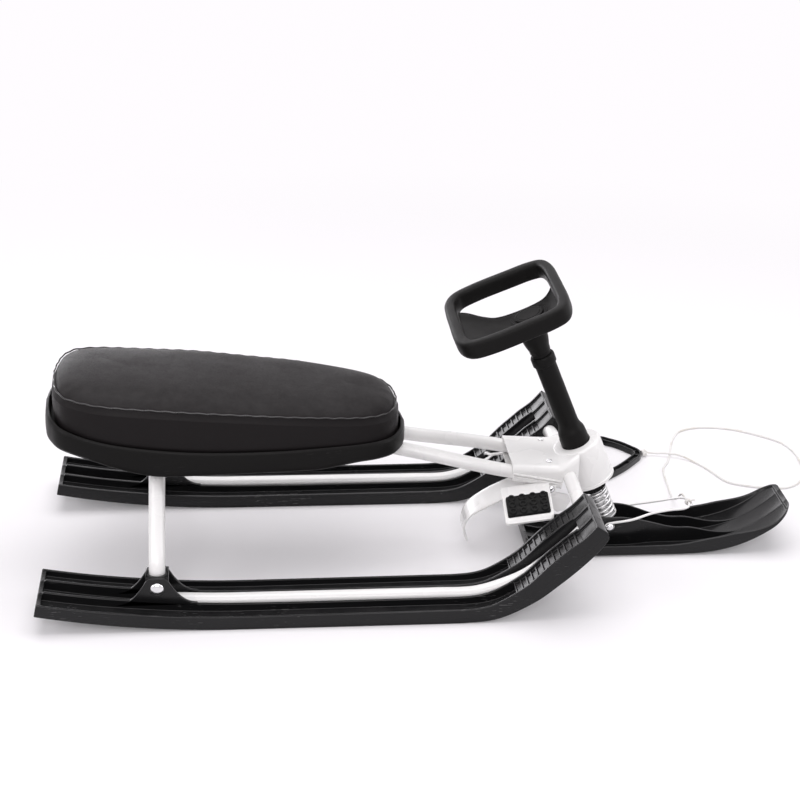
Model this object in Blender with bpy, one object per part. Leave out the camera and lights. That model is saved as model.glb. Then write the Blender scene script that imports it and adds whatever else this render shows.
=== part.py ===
"""Steering sled: two rear runners, a sprung steering ski, a padded seat, a pedal brake and a tow rope.

Metres, +Z up. +X is the way the sled travels, +Y the rider's left.
The origin is on the ground, below the middle of the sled.
"""
import math

import bmesh
import bpy
import numpy as np
from mathutils import Matrix, Vector

# Clearances
TOUCH_GAP = 0.0003
RUNNING_GAP = 0.0005

# Whole sled
SLED_LENGTH = 1.200
TAIL_X = -SLED_LENGTH / 2
TIP_X = SLED_LENGTH / 2
TRACK = 0.389

# Rear runners
RUNNER_WIDTH = 0.111
RUNNER_RIM = 0.0045
RUNNER_RIB = 0.005
TUBE_CHANNEL = 0.031
RUNNER_SKIN = 0.003
RUNNER_NOSE_X = 0.2595
RUNNER_NOSE_HEIGHT = 0.146
RUNGS = 12
RUNG_PITCH = 0.0118
RUNG_WIDTH = 0.0035
RUNG_RECESS = 0.0055
END_RIM = 0.007

# Frame tubes
HOOP_TUBE = 0.022
LEG_TUBE = 0.025
MAIN_TUBE = 0.022
LEG_X = -0.420
LEG_TOP_Y = 0.095
MAIN_HALF_SPACING = 0.047
MAIN_REAR_HALF_SPACING = 0.030

# Boss that holds a rear leg
BOSS_HEIGHT = 0.0706
BOSS_HALF_LENGTH = 0.060
BOSS_CHEEK = 0.005
BOSS_BOLT_Z = 0.052
BOSS_BOLT = 0.008
BOSS_BOLT_HEAD = 0.022

# Seat
SEAT_REAR_X = -0.575
SEAT_FRONT_X = -0.055
SEAT_HALF_WIDTH = 0.113
CUSHION_CROWN = 0.015
TRAY_RIM_OUT = 0.011
TRAY_WALL = 0.0035
TRAY_DECK = 0.004
TRAY_BOTTOM_Z = 0.190

# Steering
RAKE = math.radians(23.0)
STEER_GROUND_X = 0.3253
COLLAR_RADIUS = 0.040
COLLAR_BOTTOM = 0.115
COLLAR_TOP = 0.198
HEAD_TUBE_RADIUS = 0.0165
SHAFT_RADIUS = 0.0125
STEM_RADIUS = 0.0095
SLEEVE_RADIUS = 0.017
BOOT_RADIUS = 0.0235
WHEEL_HUB = 0.430
WHEEL_TOP = 0.4745
WHEEL_RIM_DEPTH = 0.024
WHEEL_RIM_WIDTH = 0.019
WHEEL_WIDTH = 0.236
WHEEL_REAR = 0.113
WHEEL_FRONT = 0.072

# Suspension spring
SPRING_RADIUS = 0.0190
SPRING_WIRE = 0.0040
SPRING_TURNS = 6.0
SPRING_LOW = 0.0545
SPRING_HIGH = 0.1005
RING_THICKNESS = 0.011

# Steering ski
SKI_WIDTH = 0.118
SKI_REAR_X = 0.168
SKI_RIM = 0.0045
SKI_FLOOR = 0.005
SKI_RIB = 0.0045
SKI_RIB_INSIDE = 0.0165
SKI_RIB_FLARE = 0.0230
PIVOT_UP = 0.0435
PIVOT_BOLT = 0.008

# Brake
BRAKE_PIVOT_X = 0.200
BRAKE_PIVOT_Z = 0.130
BRAKE_SHEET = 0.003
BRAKE_ROD = 0.007
CLAW_TOP_WIDTH = 0.060
CLAW_TIP_WIDTH = 0.035
PEDAL_OUTER_Y = 0.129

# Cord and wire
ROPE = 0.0036
BAIL_WIRE = 0.0042


def material(name, colour, roughness, metallic=0.0):
    """A plain material with one colour, roughness and metallic value."""
    made = bpy.data.materials.new(name)
    made.use_nodes = True
    shader = made.node_tree.nodes["Principled BSDF"]
    shader.inputs["Base Color"].default_value = (*colour, 1)
    shader.inputs["Roughness"].default_value = roughness
    shader.inputs["Metallic"].default_value = metallic
    return made


def clear_scene():
    for obj in list(bpy.data.objects):
        bpy.data.objects.remove(obj, do_unlink=True)


def finish(name, mesh, mat, matrix=None, sharp=35):
    """Link a mesh as a named object with its material and smooth round faces."""
    obj = bpy.data.objects.new(name, mesh)
    bpy.context.scene.collection.objects.link(obj)
    if matrix is not None:
        obj.matrix_world = matrix
    mesh.materials.append(mat)
    mesh.shade_smooth()
    mesh.set_sharp_from_angle(angle=math.radians(sharp))
    return obj


def set_origin(obj, point):
    """Put the object's origin at the point and leave its shape where it is."""
    obj.data.transform(Matrix.Translation(-point))
    obj.matrix_world = Matrix.Translation(point)


def bm_to_mesh(bm, name):
    bmesh.ops.recalc_face_normals(bm, faces=bm.faces)
    mesh = bpy.data.meshes.new(name)
    bm.to_mesh(mesh)
    bm.free()
    return mesh


def smooth(points, t):
    """Point at t (0 to 1) on a smooth curve through the points, spaced by their chords."""
    pts = np.array(points, dtype=float)
    chords = np.sqrt(np.maximum(np.linalg.norm(np.diff(pts, axis=0), axis=1), 1e-9))
    knots = np.concatenate(([0.0], np.cumsum(chords)))
    where = t * knots[-1]
    i = int(np.clip(np.searchsorted(knots, where) - 1, 0, len(pts) - 2))
    span = knots[i + 1] - knots[i]
    u = (where - knots[i]) / span

    def slope(j):
        if j == 0:
            return (pts[1] - pts[0]) / (knots[1] - knots[0])
        if j == len(pts) - 1:
            return (pts[-1] - pts[-2]) / (knots[-1] - knots[-2])
        before = (pts[j] - pts[j - 1]) / (knots[j] - knots[j - 1])
        after = (pts[j + 1] - pts[j]) / (knots[j + 1] - knots[j])
        wb = knots[j + 1] - knots[j]
        wa = knots[j] - knots[j - 1]
        return (before * wb + after * wa) / (wa + wb)

    m0 = slope(i) * span
    m1 = slope(i + 1) * span
    h00 = 2 * u**3 - 3 * u**2 + 1
    h10 = u**3 - 2 * u**2 + u
    h01 = -2 * u**3 + 3 * u**2
    h11 = u**3 - u**2
    return h00 * pts[i] + h10 * m0 + h01 * pts[i + 1] + h11 * m1


def even_points(points, count, fine=400):
    """Points evenly spaced along the smooth curve through the given ones."""
    dense = np.array([smooth(points, t) for t in np.linspace(0, 1, fine)])
    run = np.concatenate(([0.0], np.cumsum(np.linalg.norm(np.diff(dense, axis=0), axis=1))))
    marks = np.linspace(0, run[-1], count)
    return [Vector([float(np.interp(m, run, dense[:, k])) for k in range(3)]) for m in marks]


def ease(value, start, end):
    """0 before start, 1 after end, with a smooth change between them."""
    u = min(max((value - start) / (end - start), 0.0), 1.0)
    return u * u * (3 - 2 * u)


def on_axis(s):
    """Point on the steering axis, s metres up it from the ground."""
    return Vector((STEER_GROUND_X - math.sin(RAKE) * s, 0, math.cos(RAKE) * s))


def axis_frame(s):
    """Frame whose Z is the steering axis and whose X points forward, s metres up the axis."""
    return Matrix.Translation(on_axis(s)) @ Matrix.Rotation(-RAKE, 4, "Y")


def loft(rings, name, closed_ends=True):
    """One closed mesh through rings that have the same number of points."""
    bm = bmesh.new()
    rows = [[bm.verts.new(p) for p in ring] for ring in rings]
    count = len(rows[0])
    for low, high in zip(rows, rows[1:]):
        for i in range(count):
            j = (i + 1) % count
            bm.faces.new((low[i], low[j], high[j], high[i]))
    if closed_ends:
        bm.faces.new(rows[0][::-1])
        bm.faces.new(rows[-1])
    return bm_to_mesh(bm, name)


def turned(name, profile, segments=24):
    """Closed solid of revolution about Z; profile is (radius, z), a closed outline."""
    bm = bmesh.new()
    rings = []
    for radius, z in profile:
        if radius < 1e-6:
            rings.append([bm.verts.new((0, 0, z))])
            continue
        rings.append([bm.verts.new((radius * math.cos(2 * math.pi * k / segments),
                                    radius * math.sin(2 * math.pi * k / segments), z))
                      for k in range(segments)])
    for ring, nxt in zip(rings, rings[1:] + rings[:1]):
        if len(ring) == 1 and len(nxt) == 1:
            continue
        for k in range(segments):
            m = (k + 1) % segments
            if len(ring) == 1:
                bm.faces.new((ring[0], nxt[k], nxt[m]))
            elif len(nxt) == 1:
                bm.faces.new((ring[k], nxt[0], ring[m]))
            else:
                bm.faces.new((ring[k], nxt[k], nxt[m], ring[m]))
    return bm_to_mesh(bm, name)


def prism(name, outline, low, high):
    """Straight solid over an outline of (x, z) points, from y = low to y = high."""
    rings = [[Vector((x, y, z)) for x, z in outline] for y in (low, high)]
    return loft(rings, name)


def tube_curve(name, points, diameter, mat, sides=2):
    """A solid round bar along the points, with closed ends."""
    curve = bpy.data.curves.new(name, "CURVE")
    curve.dimensions = "3D"
    curve.bevel_depth = diameter / 2
    curve.bevel_resolution = sides
    curve.use_fill_caps = True
    curve.resolution_u = 1
    curve.twist_mode = "MINIMUM"
    spline = curve.splines.new("POLY")
    spline.points.add(len(points) - 1)
    for slot, point in zip(spline.points, points):
        slot.co = (*point, 1)
    for slot in spline.points:
        slot.radius = 1.0
    curve.materials.append(mat)
    obj = bpy.data.objects.new(name, curve)
    bpy.context.scene.collection.objects.link(obj)
    return obj


def as_mesh(curve_obj, mat):
    """The same object as a mesh, so that it can be cut or can cut."""
    name = curve_obj.name
    mesh = bpy.data.meshes.new_from_object(curve_obj.evaluated_get(bpy.context.evaluated_depsgraph_get()))
    bpy.data.objects.remove(curve_obj, do_unlink=True)
    mesh.materials.clear()
    bm = bmesh.new()
    bm.from_mesh(mesh)
    bmesh.ops.remove_doubles(bm, verts=bm.verts, dist=0.00001)
    return finish(name, bm_to_mesh(bm, name), mat)


def cutter(obj):
    obj.hide_render = True
    obj.display_type = "WIRE"
    return obj


def cut(obj, tool, operation="DIFFERENCE"):
    modifier = obj.modifiers.new(operation.lower() + "_" + tool.name, "BOOLEAN")
    modifier.operation = operation
    modifier.object = cutter(tool)
    return modifier


def cross_bar_mesh(name, radius, low, high, segments=16):
    """Round bar along Y."""
    rings = [[Vector((radius * math.cos(2 * math.pi * k / segments), y,
                      radius * math.sin(2 * math.pi * k / segments))) for k in range(segments)]
             for y in (low, high)]
    return loft(rings, name)


def box_mesh(name, low, high):
    return prism(name, [(low[0], low[2]), (high[0], low[2]), (high[0], high[2]), (low[0], high[2])], low[1], high[1])


# Rear runner line: the rear end lifts on a parabola and the front climbs a ramp to the nose
TAIL_RISE = 0.031
TAIL_FLAT_X = -0.300
RAMP_START_X = 0.020
RAMP_SHAPE = ((0.0, 0.0), (0.10, 0.003), (0.297, 0.038), (0.5365, 0.228), (0.689, 0.43), (0.8017, 0.60),
              (0.910, 0.79), (1.0, 1.0))
RUNNER_DEPTH = ((0.0, 0.0195), (0.16, 0.0218), (0.35, 0.0213), (0.72, 0.0228), (0.83, 0.031), (0.89, 0.037),
                (0.935, 0.0365), (0.97, 0.031), (1.0, 0.0284))
PAD_LENGTH = 0.036
LADDER_GAP = 0.006
TUBE_FLOOR = 0.0072
TUBE_FLOOR_RAMP = 0.0035


def runner_bottom():
    """Points along the runner's sole, tail to nose, as (x, z)."""
    points = []
    for x in np.linspace(TAIL_X, TAIL_FLAT_X, 40):
        points.append((x, TAIL_RISE * ((TAIL_FLAT_X - x) / (TAIL_FLAT_X - TAIL_X)) ** 2))
    reach = RUNNER_NOSE_X - RAMP_START_X
    for t in np.linspace(0, 1, 120):
        f, g = smooth(RAMP_SHAPE, t)
        points.append((RAMP_START_X + f * reach, max(g, 0.0) * RUNNER_NOSE_HEIGHT))
    return np.array(points)


SOLE = runner_bottom()
SOLE_RUN = np.concatenate(([0.0], np.cumsum(np.linalg.norm(np.diff(SOLE, axis=0), axis=1))))
RUNNER_RUN = float(SOLE_RUN[-1])
LADDER_END = RUNNER_RUN - PAD_LENGTH
LADDER_START = LADDER_END - RUNGS * RUNG_PITCH


def sole_frame(d):
    """Sole point, forward direction and upward normal at distance d along the runner."""
    def at(run):
        return np.array([np.interp(run, SOLE_RUN, SOLE[:, 0]), np.interp(run, SOLE_RUN, SOLE[:, 1])])
    low = max(d - 0.012, 0.0)
    high = min(d + 0.012, RUNNER_RUN)
    forward = at(high) - at(low)
    forward /= np.linalg.norm(forward)
    return at(d), forward, np.array([-forward[1], forward[0]])


def runner_point(d, across, height, side):
    """World point on a runner: d along the sole, across from its middle, height above the sole."""
    base, _, up = sole_frame(d)
    return Vector((base[0] + up[0] * height, side * TRACK / 2 + across, base[1] + up[1] * height))


def runner_depth(d):
    runs, depths = zip(*RUNNER_DEPTH)
    return float(np.interp(d / RUNNER_RUN, runs, depths))


def distance_at(x):
    """Distance along the sole at which the sole has this x."""
    return float(np.interp(x, SOLE[:, 0], SOLE_RUN))


def tube_floor(d):
    """Height of the tube channel's floor above the sole."""
    drop = ease(d, LADDER_START - 0.04, LADDER_START + 0.06)
    return TUBE_FLOOR + (TUBE_FLOOR_RAMP - TUBE_FLOOR) * drop


def runner_section(d, side):
    """Closed outline across a runner: three open channels above, hollow below."""
    depth = runner_depth(d)
    half = RUNNER_WIDTH / 2
    inner = TUBE_CHANNEL / 2
    outer = inner + RUNNER_RIB
    rib = depth + 0.0012 + 0.002 * (1 - ease(d, distance_at(LEG_X), distance_at(LEG_X) + 0.25))
    tail = d < END_RIM + 0.0003
    end = d > RUNNER_RUN - 0.0042
    in_pad = d > LADDER_END + 0.0003
    in_ladder = d > LADDER_START + 0.0003
    floor = depth - 0.010 - 0.004 * ease(d, LADDER_START - 0.12, LADDER_START)
    centre = tube_floor(d)
    under = floor - RUNNER_SKIN
    under_centre = centre - RUNNER_SKIN
    if in_ladder:
        floor = depth - 0.0015
        under = floor - RUNG_RECESS - RUNNER_SKIN
        under_centre = 0.0006
    if in_pad:
        floor = depth - 0.0035
        centre = depth - 0.0035
        rib = depth - 0.0004
    if tail or end:
        floor = depth - 0.0005
        centre = depth - 0.0005
        under = 0.0006
        under_centre = 0.0006
    if tail:
        rib = depth + 0.0008
    under_centre = max(under_centre, 0.0006)
    rows = ((-half, 0), (-half, depth), (-half + RUNNER_RIM, depth), (-half + RUNNER_RIM, floor),
            (-outer, floor), (-outer, rib), (-inner, rib), (-inner, centre),
            (inner, centre), (inner, rib), (outer, rib), (outer, floor),
            (half - RUNNER_RIM, floor), (half - RUNNER_RIM, depth), (half, depth), (half, 0),
            (half - RUNNER_SKIN, 0), (half - RUNNER_SKIN, under), (outer, under), (outer, 0),
            (inner, 0), (inner, under_centre), (-inner, under_centre), (-inner, 0),
            (-outer, 0), (-outer, under), (-half + RUNNER_SKIN, under), (-half + RUNNER_SKIN, 0))
    return [runner_point(d, across, height, side) for across, height in rows]


def runner_stations():
    step = 0.0006
    marks = [0.0, END_RIM, END_RIM + step]
    marks += list(np.linspace(0.06, distance_at(TAIL_FLAT_X), 5))
    marks += [distance_at(RAMP_START_X)]
    marks += list(np.linspace(distance_at(RAMP_START_X), LADDER_START, 6))[1:]
    marks += list(np.linspace(LADDER_START + step, LADDER_END, 6))
    marks += [LADDER_END + step, RUNNER_RUN - PAD_LENGTH / 2, RUNNER_RUN - 0.0045, RUNNER_RUN - 0.0041, RUNNER_RUN]
    return marks


def ladder_cutters(side):
    """One mesh of closed pockets, one between each two rungs of both side channels."""
    bm = bmesh.new()
    half = RUNNER_WIDTH / 2
    outer = TUBE_CHANNEL / 2 + RUNNER_RIB
    for k in range(RUNGS):
        start = LADDER_START + LADDER_GAP / 2 + k * RUNG_PITCH
        end = start + RUNG_PITCH - RUNG_WIDTH
        for sign in (-1, 1):
            near = sign * (outer + 0.0006)
            far = sign * (half - RUNNER_RIM - 0.0006)
            corners = []
            for d in (start, end):
                top = runner_depth(d) + 0.004
                low = runner_depth(d) - 0.0015 - RUNG_RECESS
                for across, height in ((near, low), (far, low), (far, top), (near, top)):
                    corners.append(bm.verts.new(runner_point(d, across, height, side)))
            a, b, c, e, f, g, h, i = corners
            for face in ((a, b, c, e), (f, g, h, i), (a, b, g, f), (b, c, h, g), (c, e, i, h), (e, a, f, i)):
                bm.faces.new(face)
    return bm_to_mesh(bm, "ladder_pockets")


def cheek_outline():
    """Side view of a boss cheek: a low base, concave flanks and a chamfered top."""
    base_z = float(sole_frame(distance_at(LEG_X))[0][1]) + 0.019
    shoulder = BOSS_HEIGHT - 0.006
    right = []
    for t in np.linspace(0, 1, 6):
        run = BOSS_HALF_LENGTH - (BOSS_HALF_LENGTH - 0.017) * t
        right.append((LEG_X + run, base_z + 0.004 + (shoulder - base_z - 0.004) * t ** 2.2))
    top = [(LEG_X + 0.012, BOSS_HEIGHT), (LEG_X - 0.012, BOSS_HEIGHT)]
    left = [(2 * LEG_X - x, z) for x, z in right[::-1]]
    return [(LEG_X + BOSS_HALF_LENGTH, base_z)] + right + top + left + [(LEG_X - BOSS_HALF_LENGTH, base_z)]


def rear_runner(name, side, plastic):
    body = finish(name, loft([runner_section(d, side) for d in runner_stations()], name), plastic)
    middle = side * TRACK / 2
    inner = TUBE_CHANNEL / 2
    pieces = []
    for sign in (-1, 1):
        edges = sorted((middle + sign * (inner + 0.0001), middle + sign * (inner + BOSS_CHEEK - 0.0001)))
        pieces.append(prism(name + "_cheek", cheek_outline(), *edges))
    socket = HOOP_TUBE + 0.0125
    block_low = float(sole_frame(distance_at(LEG_X))[0][1]) + TUBE_FLOOR + HOOP_TUBE + 0.004
    pieces.append(box_mesh(name + "_socket", (LEG_X - socket / 2, middle - inner - 0.001, block_low),
                           (LEG_X + socket / 2, middle + inner + 0.001, BOSS_HEIGHT + 0.0006)))
    for k, mesh in enumerate(pieces):
        cut(body, finish(f"{name}_boss_{k}", mesh, plastic), "UNION")
    bore = turned(name + "_bore", [(0, 0.035), (LEG_TUBE / 2 + TOUCH_GAP, 0.035),
                                   (LEG_TUBE / 2 + TOUCH_GAP, 0.09), (0, 0.09)])
    cut(body, finish(name + "_leg_bore", bore, plastic, Matrix.Translation((LEG_X, middle, 0))))
    hole = cross_bar_mesh(name + "_hole", BOSS_BOLT / 2 + TOUCH_GAP, -0.04, 0.04)
    cut(body, finish(name + "_bolt_hole", hole, plastic, Matrix.Translation((LEG_X, middle, BOSS_BOLT_Z))))
    cut(body, finish(name + "_ladder", ladder_cutters(side), plastic))
    entry = runner_point(LADDER_END - 0.03, 0, HOOP_TUBE / 2, side).z
    inside = [point for point in hoop_path(side) if point.z > entry]
    tunnel = tube_curve(name + "_tunnel", inside, HOOP_TUBE + 4 * RUNNING_GAP, plastic, 3)
    cut(body, as_mesh(tunnel, plastic))
    return body


# The hoop leaves each runner channel at the nose and crosses under the steering head
CROSS_X = 0.231
CROSS_Z = 0.1445


def hoop_path(side):
    """Centre line of one half of the hoop, from its rear end in the channel to the sled's middle."""
    route = []
    start = distance_at(LEG_X) + LEG_TUBE / 2 + 0.006
    for d in list(np.linspace(start, LADDER_START, 9)) + list(np.linspace(LADDER_START, LADDER_END - 0.012, 6))[1:]:
        height = tube_floor(d) + 2 * RUNNING_GAP + HOOP_TUBE / 2
        route.append(runner_point(d, 0, height, side))
    bend = runner_point(RUNNER_RUN - 0.030, -side * 0.006, 0.0145, side)
    route.append(bend)
    wall = side * (TRACK / 2 - RUNNER_WIDTH / 2)
    route.append(Vector((CROSS_X + 0.001, wall + side * 0.018, CROSS_Z - 0.009)))
    route.append(Vector((CROSS_X + 0.001, wall - side * 0.012, CROSS_Z - 0.004)))
    route.append(Vector((CROSS_X, side * 0.075, CROSS_Z)))
    route.append(Vector((CROSS_X, 0, CROSS_Z)))
    dense = even_points(route, 400, 1600)
    straight = list(np.linspace(0, 0.52, 9))
    bends = list(np.linspace(0.52, 0.93, 21))[1:]
    return [dense[int(round(share * 399))] for share in straight + bends + [1.0]]


def front_hoop(steel):
    right = hoop_path(-1)
    left = hoop_path(1)
    return tube_curve("front_hoop", right + left[-2::-1], HOOP_TUBE, steel, 2)


def tray_deck(x):
    """Height of the plane that the cushion lies on."""
    return 0.2068 - 0.0922 * x


def leg_path(side):
    """Centre line of one half of the rear leg tube, from its foot in the boss to the sled's middle."""
    height = main_tube_height(LEG_X) - (MAIN_TUBE + LEG_TUBE) / 2 - TOUCH_GAP
    middle = side * TRACK / 2
    drop = Vector((LEG_X, middle, BOSS_BOLT_Z - 0.013))
    collar = Vector((LEG_X, middle, BOSS_HEIGHT + 0.011))
    top = Vector((LEG_X, side * LEG_TOP_Y, height - 0.018))
    knee = Vector((LEG_X, side * (LEG_TOP_Y - 0.022), height))
    lean = (top - collar).normalized()
    points = [drop, collar - Vector((0, 0, 0.006)), collar + lean * 0.010]
    points += [collar.lerp(top, f) for f in (0.35, 0.7, 0.92)]
    for t in np.linspace(0.2, 0.8, 4):
        points.append(top * (1 - t) ** 2 + (top + lean * 0.018) * 2 * t * (1 - t) + knee * t * t)
    return points + [knee, Vector((LEG_X, 0, height))]


def rear_leg_frame(steel):
    right = leg_path(-1)
    left = leg_path(1)
    return tube_curve("rear_leg_frame", right + left[-2::-1], LEG_TUBE, steel, 2)


MAIN_FRONT_X = 0.212
MAIN_SLOPE = 0.2
MAIN_END_X = LEG_X - 0.045


def main_tube_height(x):
    """Height of a main tube's centre line: a steep front part, then level with the tray's deck."""
    front = 0.182 - MAIN_SLOPE * x
    under = tray_deck(x) - TRAY_DECK - TOUCH_GAP - MAIN_TUBE / 2 - 0.0002
    width = 0.0012
    return -width * math.log(math.exp(-front / width) + math.exp(-under / width))


def main_spacing(x):
    """Half the spacing of the main tubes: narrow under the seat, wider into the head."""
    return MAIN_REAR_HALF_SPACING + (MAIN_HALF_SPACING - MAIN_REAR_HALF_SPACING) * ease(x, -0.06, 0.13)


def main_tube(name, side, steel):
    marks = [MAIN_FRONT_X, 0.16] + list(np.linspace(0.12, -0.20, 17)) + [-0.30, MAIN_END_X]
    points = [Vector((x, side * main_spacing(x), main_tube_height(x))) for x in marks]
    return tube_curve(name, points, MAIN_TUBE, steel, 2)


# Seat plan: share of the length from the rear, and half width as a share of the widest
SEAT_PLAN = ((0.0, 0.0), (0.006, 0.35), (0.022, 0.66), (0.060, 0.88), (0.144, 1.0), (0.337, 0.982), (0.529, 0.934),
             (0.721, 0.872), (0.875, 0.780), (0.945, 0.640), (0.985, 0.380), (1.0, 0.0))
SEAT_POINTS = 20


def seat_outline(offset):
    """Closed plan outline of the seat, grown outward by the offset."""
    length = SEAT_FRONT_X - SEAT_REAR_X
    half = []
    for k in range(SEAT_POINTS + 1):
        f, w = smooth(SEAT_PLAN, k / SEAT_POINTS)
        half.append((SEAT_REAR_X + f * length, w * SEAT_HALF_WIDTH))
    half[0] = (SEAT_REAR_X, 0.0)
    half[-1] = (SEAT_FRONT_X, 0.0)
    loop = half + [(x, -y) for x, y in half[-2:0:-1]]
    grown = []
    for i, (x, y) in enumerate(loop):
        before = loop[i - 1]
        after = loop[(i + 1) % len(loop)]
        along = Vector((after[0] - before[0], after[1] - before[1])).normalized()
        grown.append((x - along.y * offset, y + along.x * offset))
    return grown


# Seat details
SEAM_HEIGHT = 0.2625
SEAM_FALL = 0.070
SEAM_CURVE = 0.04
RIM_STEP = 0.009
RIM_SWEEP = 0.022
RIM_SWEEP_LONG = 0.040
NOTCH_BACK = 0.016
NOTCH_FRONT = 0.030
SADDLE_SHEET = 0.0025
SADDLE_EAR = 0.016
SADDLE_WIDE = 0.018
SADDLE_REAR_X = LEG_X + 0.050
SADDLE_FRONT_X = -0.200


def seat_seam(x):
    """Height of the cushion's top seam."""
    return SEAM_HEIGHT - SEAM_FALL * x + SEAM_CURVE * x * x


def drawn_in(outline, share):
    """The outline drawn towards the seat's spine, to this share of its size."""
    rear = SEAT_REAR_X + SEAT_HALF_WIDTH
    front = SEAT_FRONT_X - SEAT_HALF_WIDTH * 0.7
    points = []
    for x, y in outline:
        spine = min(max(x, rear), front)
        points.append((spine + (x - spine) * share, y * share))
    return points


def seat_cushion(vinyl):
    """Padded cushion: straight tucked sides, a bevelled band under the seam and a crowned top."""
    rings = []
    floor = TOUCH_GAP + 0.0002
    for offset, lift in ((-0.004, floor), (0.0045, floor + 0.007)):
        rings.append([Vector((x, y, tray_deck(x) + lift)) for x, y in seat_outline(offset)])
    for offset, drop in ((0.0055, 0.030), (0.0042, 0.0135), (0.0006, 0.0032), (0.0012, 0.0), (-0.0012, -0.0022)):
        rings.append([Vector((x, y, seat_seam(x) - drop)) for x, y in seat_outline(offset)])
    seam = seat_outline(-0.002)
    for share in (0.965, 0.90, 0.76, 0.52, 0.25):
        crown = CUSHION_CROWN * (1 - share ** 5) ** 0.8
        rings.append([Vector((x, y, seat_seam(x) + 0.0015 + crown)) for x, y in drawn_in(seam, share)])
    return finish("seat_cushion", loft(rings, "seat_cushion"), vinyl, sharp=50)


def tray_rim(x):
    """Height of the tray's rim: level with the cushion's tuck, swept up round the rear."""
    return tray_deck(x) + RIM_STEP + RIM_SWEEP * ease(-x, -SEAT_REAR_X - RIM_SWEEP_LONG, -SEAT_REAR_X + 0.004)


def seat_tray(plastic):
    """Moulded seat base, open below, with a rim round the cushion and saddles for the frame."""
    inner = TRAY_RIM_OUT - TRAY_WALL

    def ring(offset, height):
        return [Vector((x, y, height(x))) for x, y in seat_outline(offset)]
    rings = [ring(inner, tray_deck),
             ring(inner, tray_rim),
             ring(TRAY_RIM_OUT - 0.001, tray_rim),
             ring(TRAY_RIM_OUT, lambda x: tray_rim(x) - 0.0015),
             ring(TRAY_RIM_OUT, lambda x: tray_deck(x) - 0.006),
             ring(TRAY_RIM_OUT - 0.004, lambda x: TRAY_BOTTOM_Z + 0.006),
             ring(TRAY_RIM_OUT - 0.007, lambda x: TRAY_BOTTOM_Z),
             ring(TRAY_RIM_OUT - 0.007 - TRAY_WALL, lambda x: TRAY_BOTTOM_Z),
             ring(inner - 0.0005, lambda x: tray_deck(x) - TRAY_DECK)]
    tray = finish("seat_tray", loft(rings, "seat_tray"), plastic, sharp=40)
    x = SEAT_FRONT_X
    half = MAIN_TUBE / 2 + 0.001
    for side in (-1, 1):
        y = side * main_spacing(x)
        notch = box_mesh("notch", (x - NOTCH_BACK, y - half, TRAY_BOTTOM_Z - 0.02),
                         (x + NOTCH_FRONT, y + half, main_tube_height(x - NOTCH_BACK) + half))
        cut(tray, finish(f"tray_notch_{side}", notch, plastic))
    return tray


def seat_saddle(name, x, height, tube, spacing, steel):
    """Pressed strap under two tubes, with ears screwed up to the tray's deck."""
    radius = tube / 2 + TOUCH_GAP
    sheet = SADDLE_SHEET
    top = tray_deck(x) - TRAY_DECK - TOUCH_GAP
    outer = []
    inner = []
    for k in range(9):
        angle = math.pi * (1 + k / 8)
        inner.append((math.cos(angle) * radius, height + math.sin(angle) * radius))
        outer.append((math.cos(angle) * (radius + sheet), height + math.sin(angle) * (radius + sheet)))
    ear = SADDLE_EAR
    drop = top - sheet
    outline = [(-radius - sheet - ear, top - 0.0001), (-radius - sheet - ear, drop), (-radius - sheet, drop)]
    outline += outer + [(radius + sheet, drop), (radius + sheet + ear, drop), (radius + sheet + ear, top - 0.0001)]
    outline += [(radius, top - 0.0001)] + inner[::-1] + [(-radius, top - 0.0001)]
    rings = []
    for dx in (-SADDLE_WIDE / 2, SADDLE_WIDE / 2):
        shift = tray_deck(x + dx) - tray_deck(x)
        rings.append([Vector((x + dx, spacing + y, z + shift)) for y, z in outline])
    return finish(name, loft(rings, name), steel)


def screw(name, place, direction, head, thick, shank, long, steel):
    """Pan-head screw whose head rests on the place and points in the direction."""
    turn = Vector(direction).normalized().to_track_quat("Z", "Y").to_matrix().to_4x4()
    profile = [(0, thick), (head * 0.6, thick * 0.92), (head, thick * 0.45), (head, 0), (shank, 0), (shank, -long),
               (0, -long)]
    return finish(name, turned(name, profile, 12), steel, Matrix.Translation(Vector(place)) @ turn)


# Steering head: two clamshell covers round the main tubes and a steel head tube
COVER_REAR_X = 0.137
COVER_SHEET = 0.0022
COVER_FRONT_X = 0.246


def head_width(x):
    return main_spacing(x) + MAIN_TUBE / 2 + TOUCH_GAP


def cover_top(x):
    """Height of the upper cover: level over the tubes, rising to the collar's top."""
    rear = main_tube_height(COVER_REAR_X) + 0.0155
    collar_rear = on_axis(COLLAR_TOP).z - COLLAR_RADIUS * math.sin(RAKE)
    return rear + (collar_rear - rear) * ease(x, COVER_REAR_X, 0.21) + 0.42 * max(x - 0.214, 0)


def cover_solid(name, grow, rear, low):
    """The cover's body over the tubes: rounded across, from the seam up."""
    rings = []
    for x in (rear, 0.165, 0.190, MAIN_FRONT_X + 0.003, 0.228, COVER_FRONT_X):
        half = head_width(x) + grow
        half = half * (1 - 0.30 * ease(x, MAIN_FRONT_X + 0.003, COVER_FRONT_X + 0.02))
        seam = main_tube_height(x) + low
        top = cover_top(x) - COVER_SHEET + grow
        bend = min(0.012, (top - seam) * 0.7)
        ring = [Vector((x, half, seam))]
        for k in range(5):
            angle = math.pi / 2 * k / 4
            ring.append(Vector((x, half - bend + bend * math.cos(angle), top - bend + bend * math.sin(angle))))
        ring += [Vector((v.x, -v.y, v.z)) for v in ring[::-1]]
        rings.append(ring)
    return loft(rings, name)


COVER_SCREW = 0.004
COVER_SCREW_X = 0.1985
COVER_SCREW_Y = 0.040


def screw_place(side):
    """Where a cover screw's head sits on the upper cover."""
    return Vector((COVER_SCREW_X, side * COVER_SCREW_Y, cover_top(COVER_SCREW_X) + 2 * TOUCH_GAP))


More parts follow.
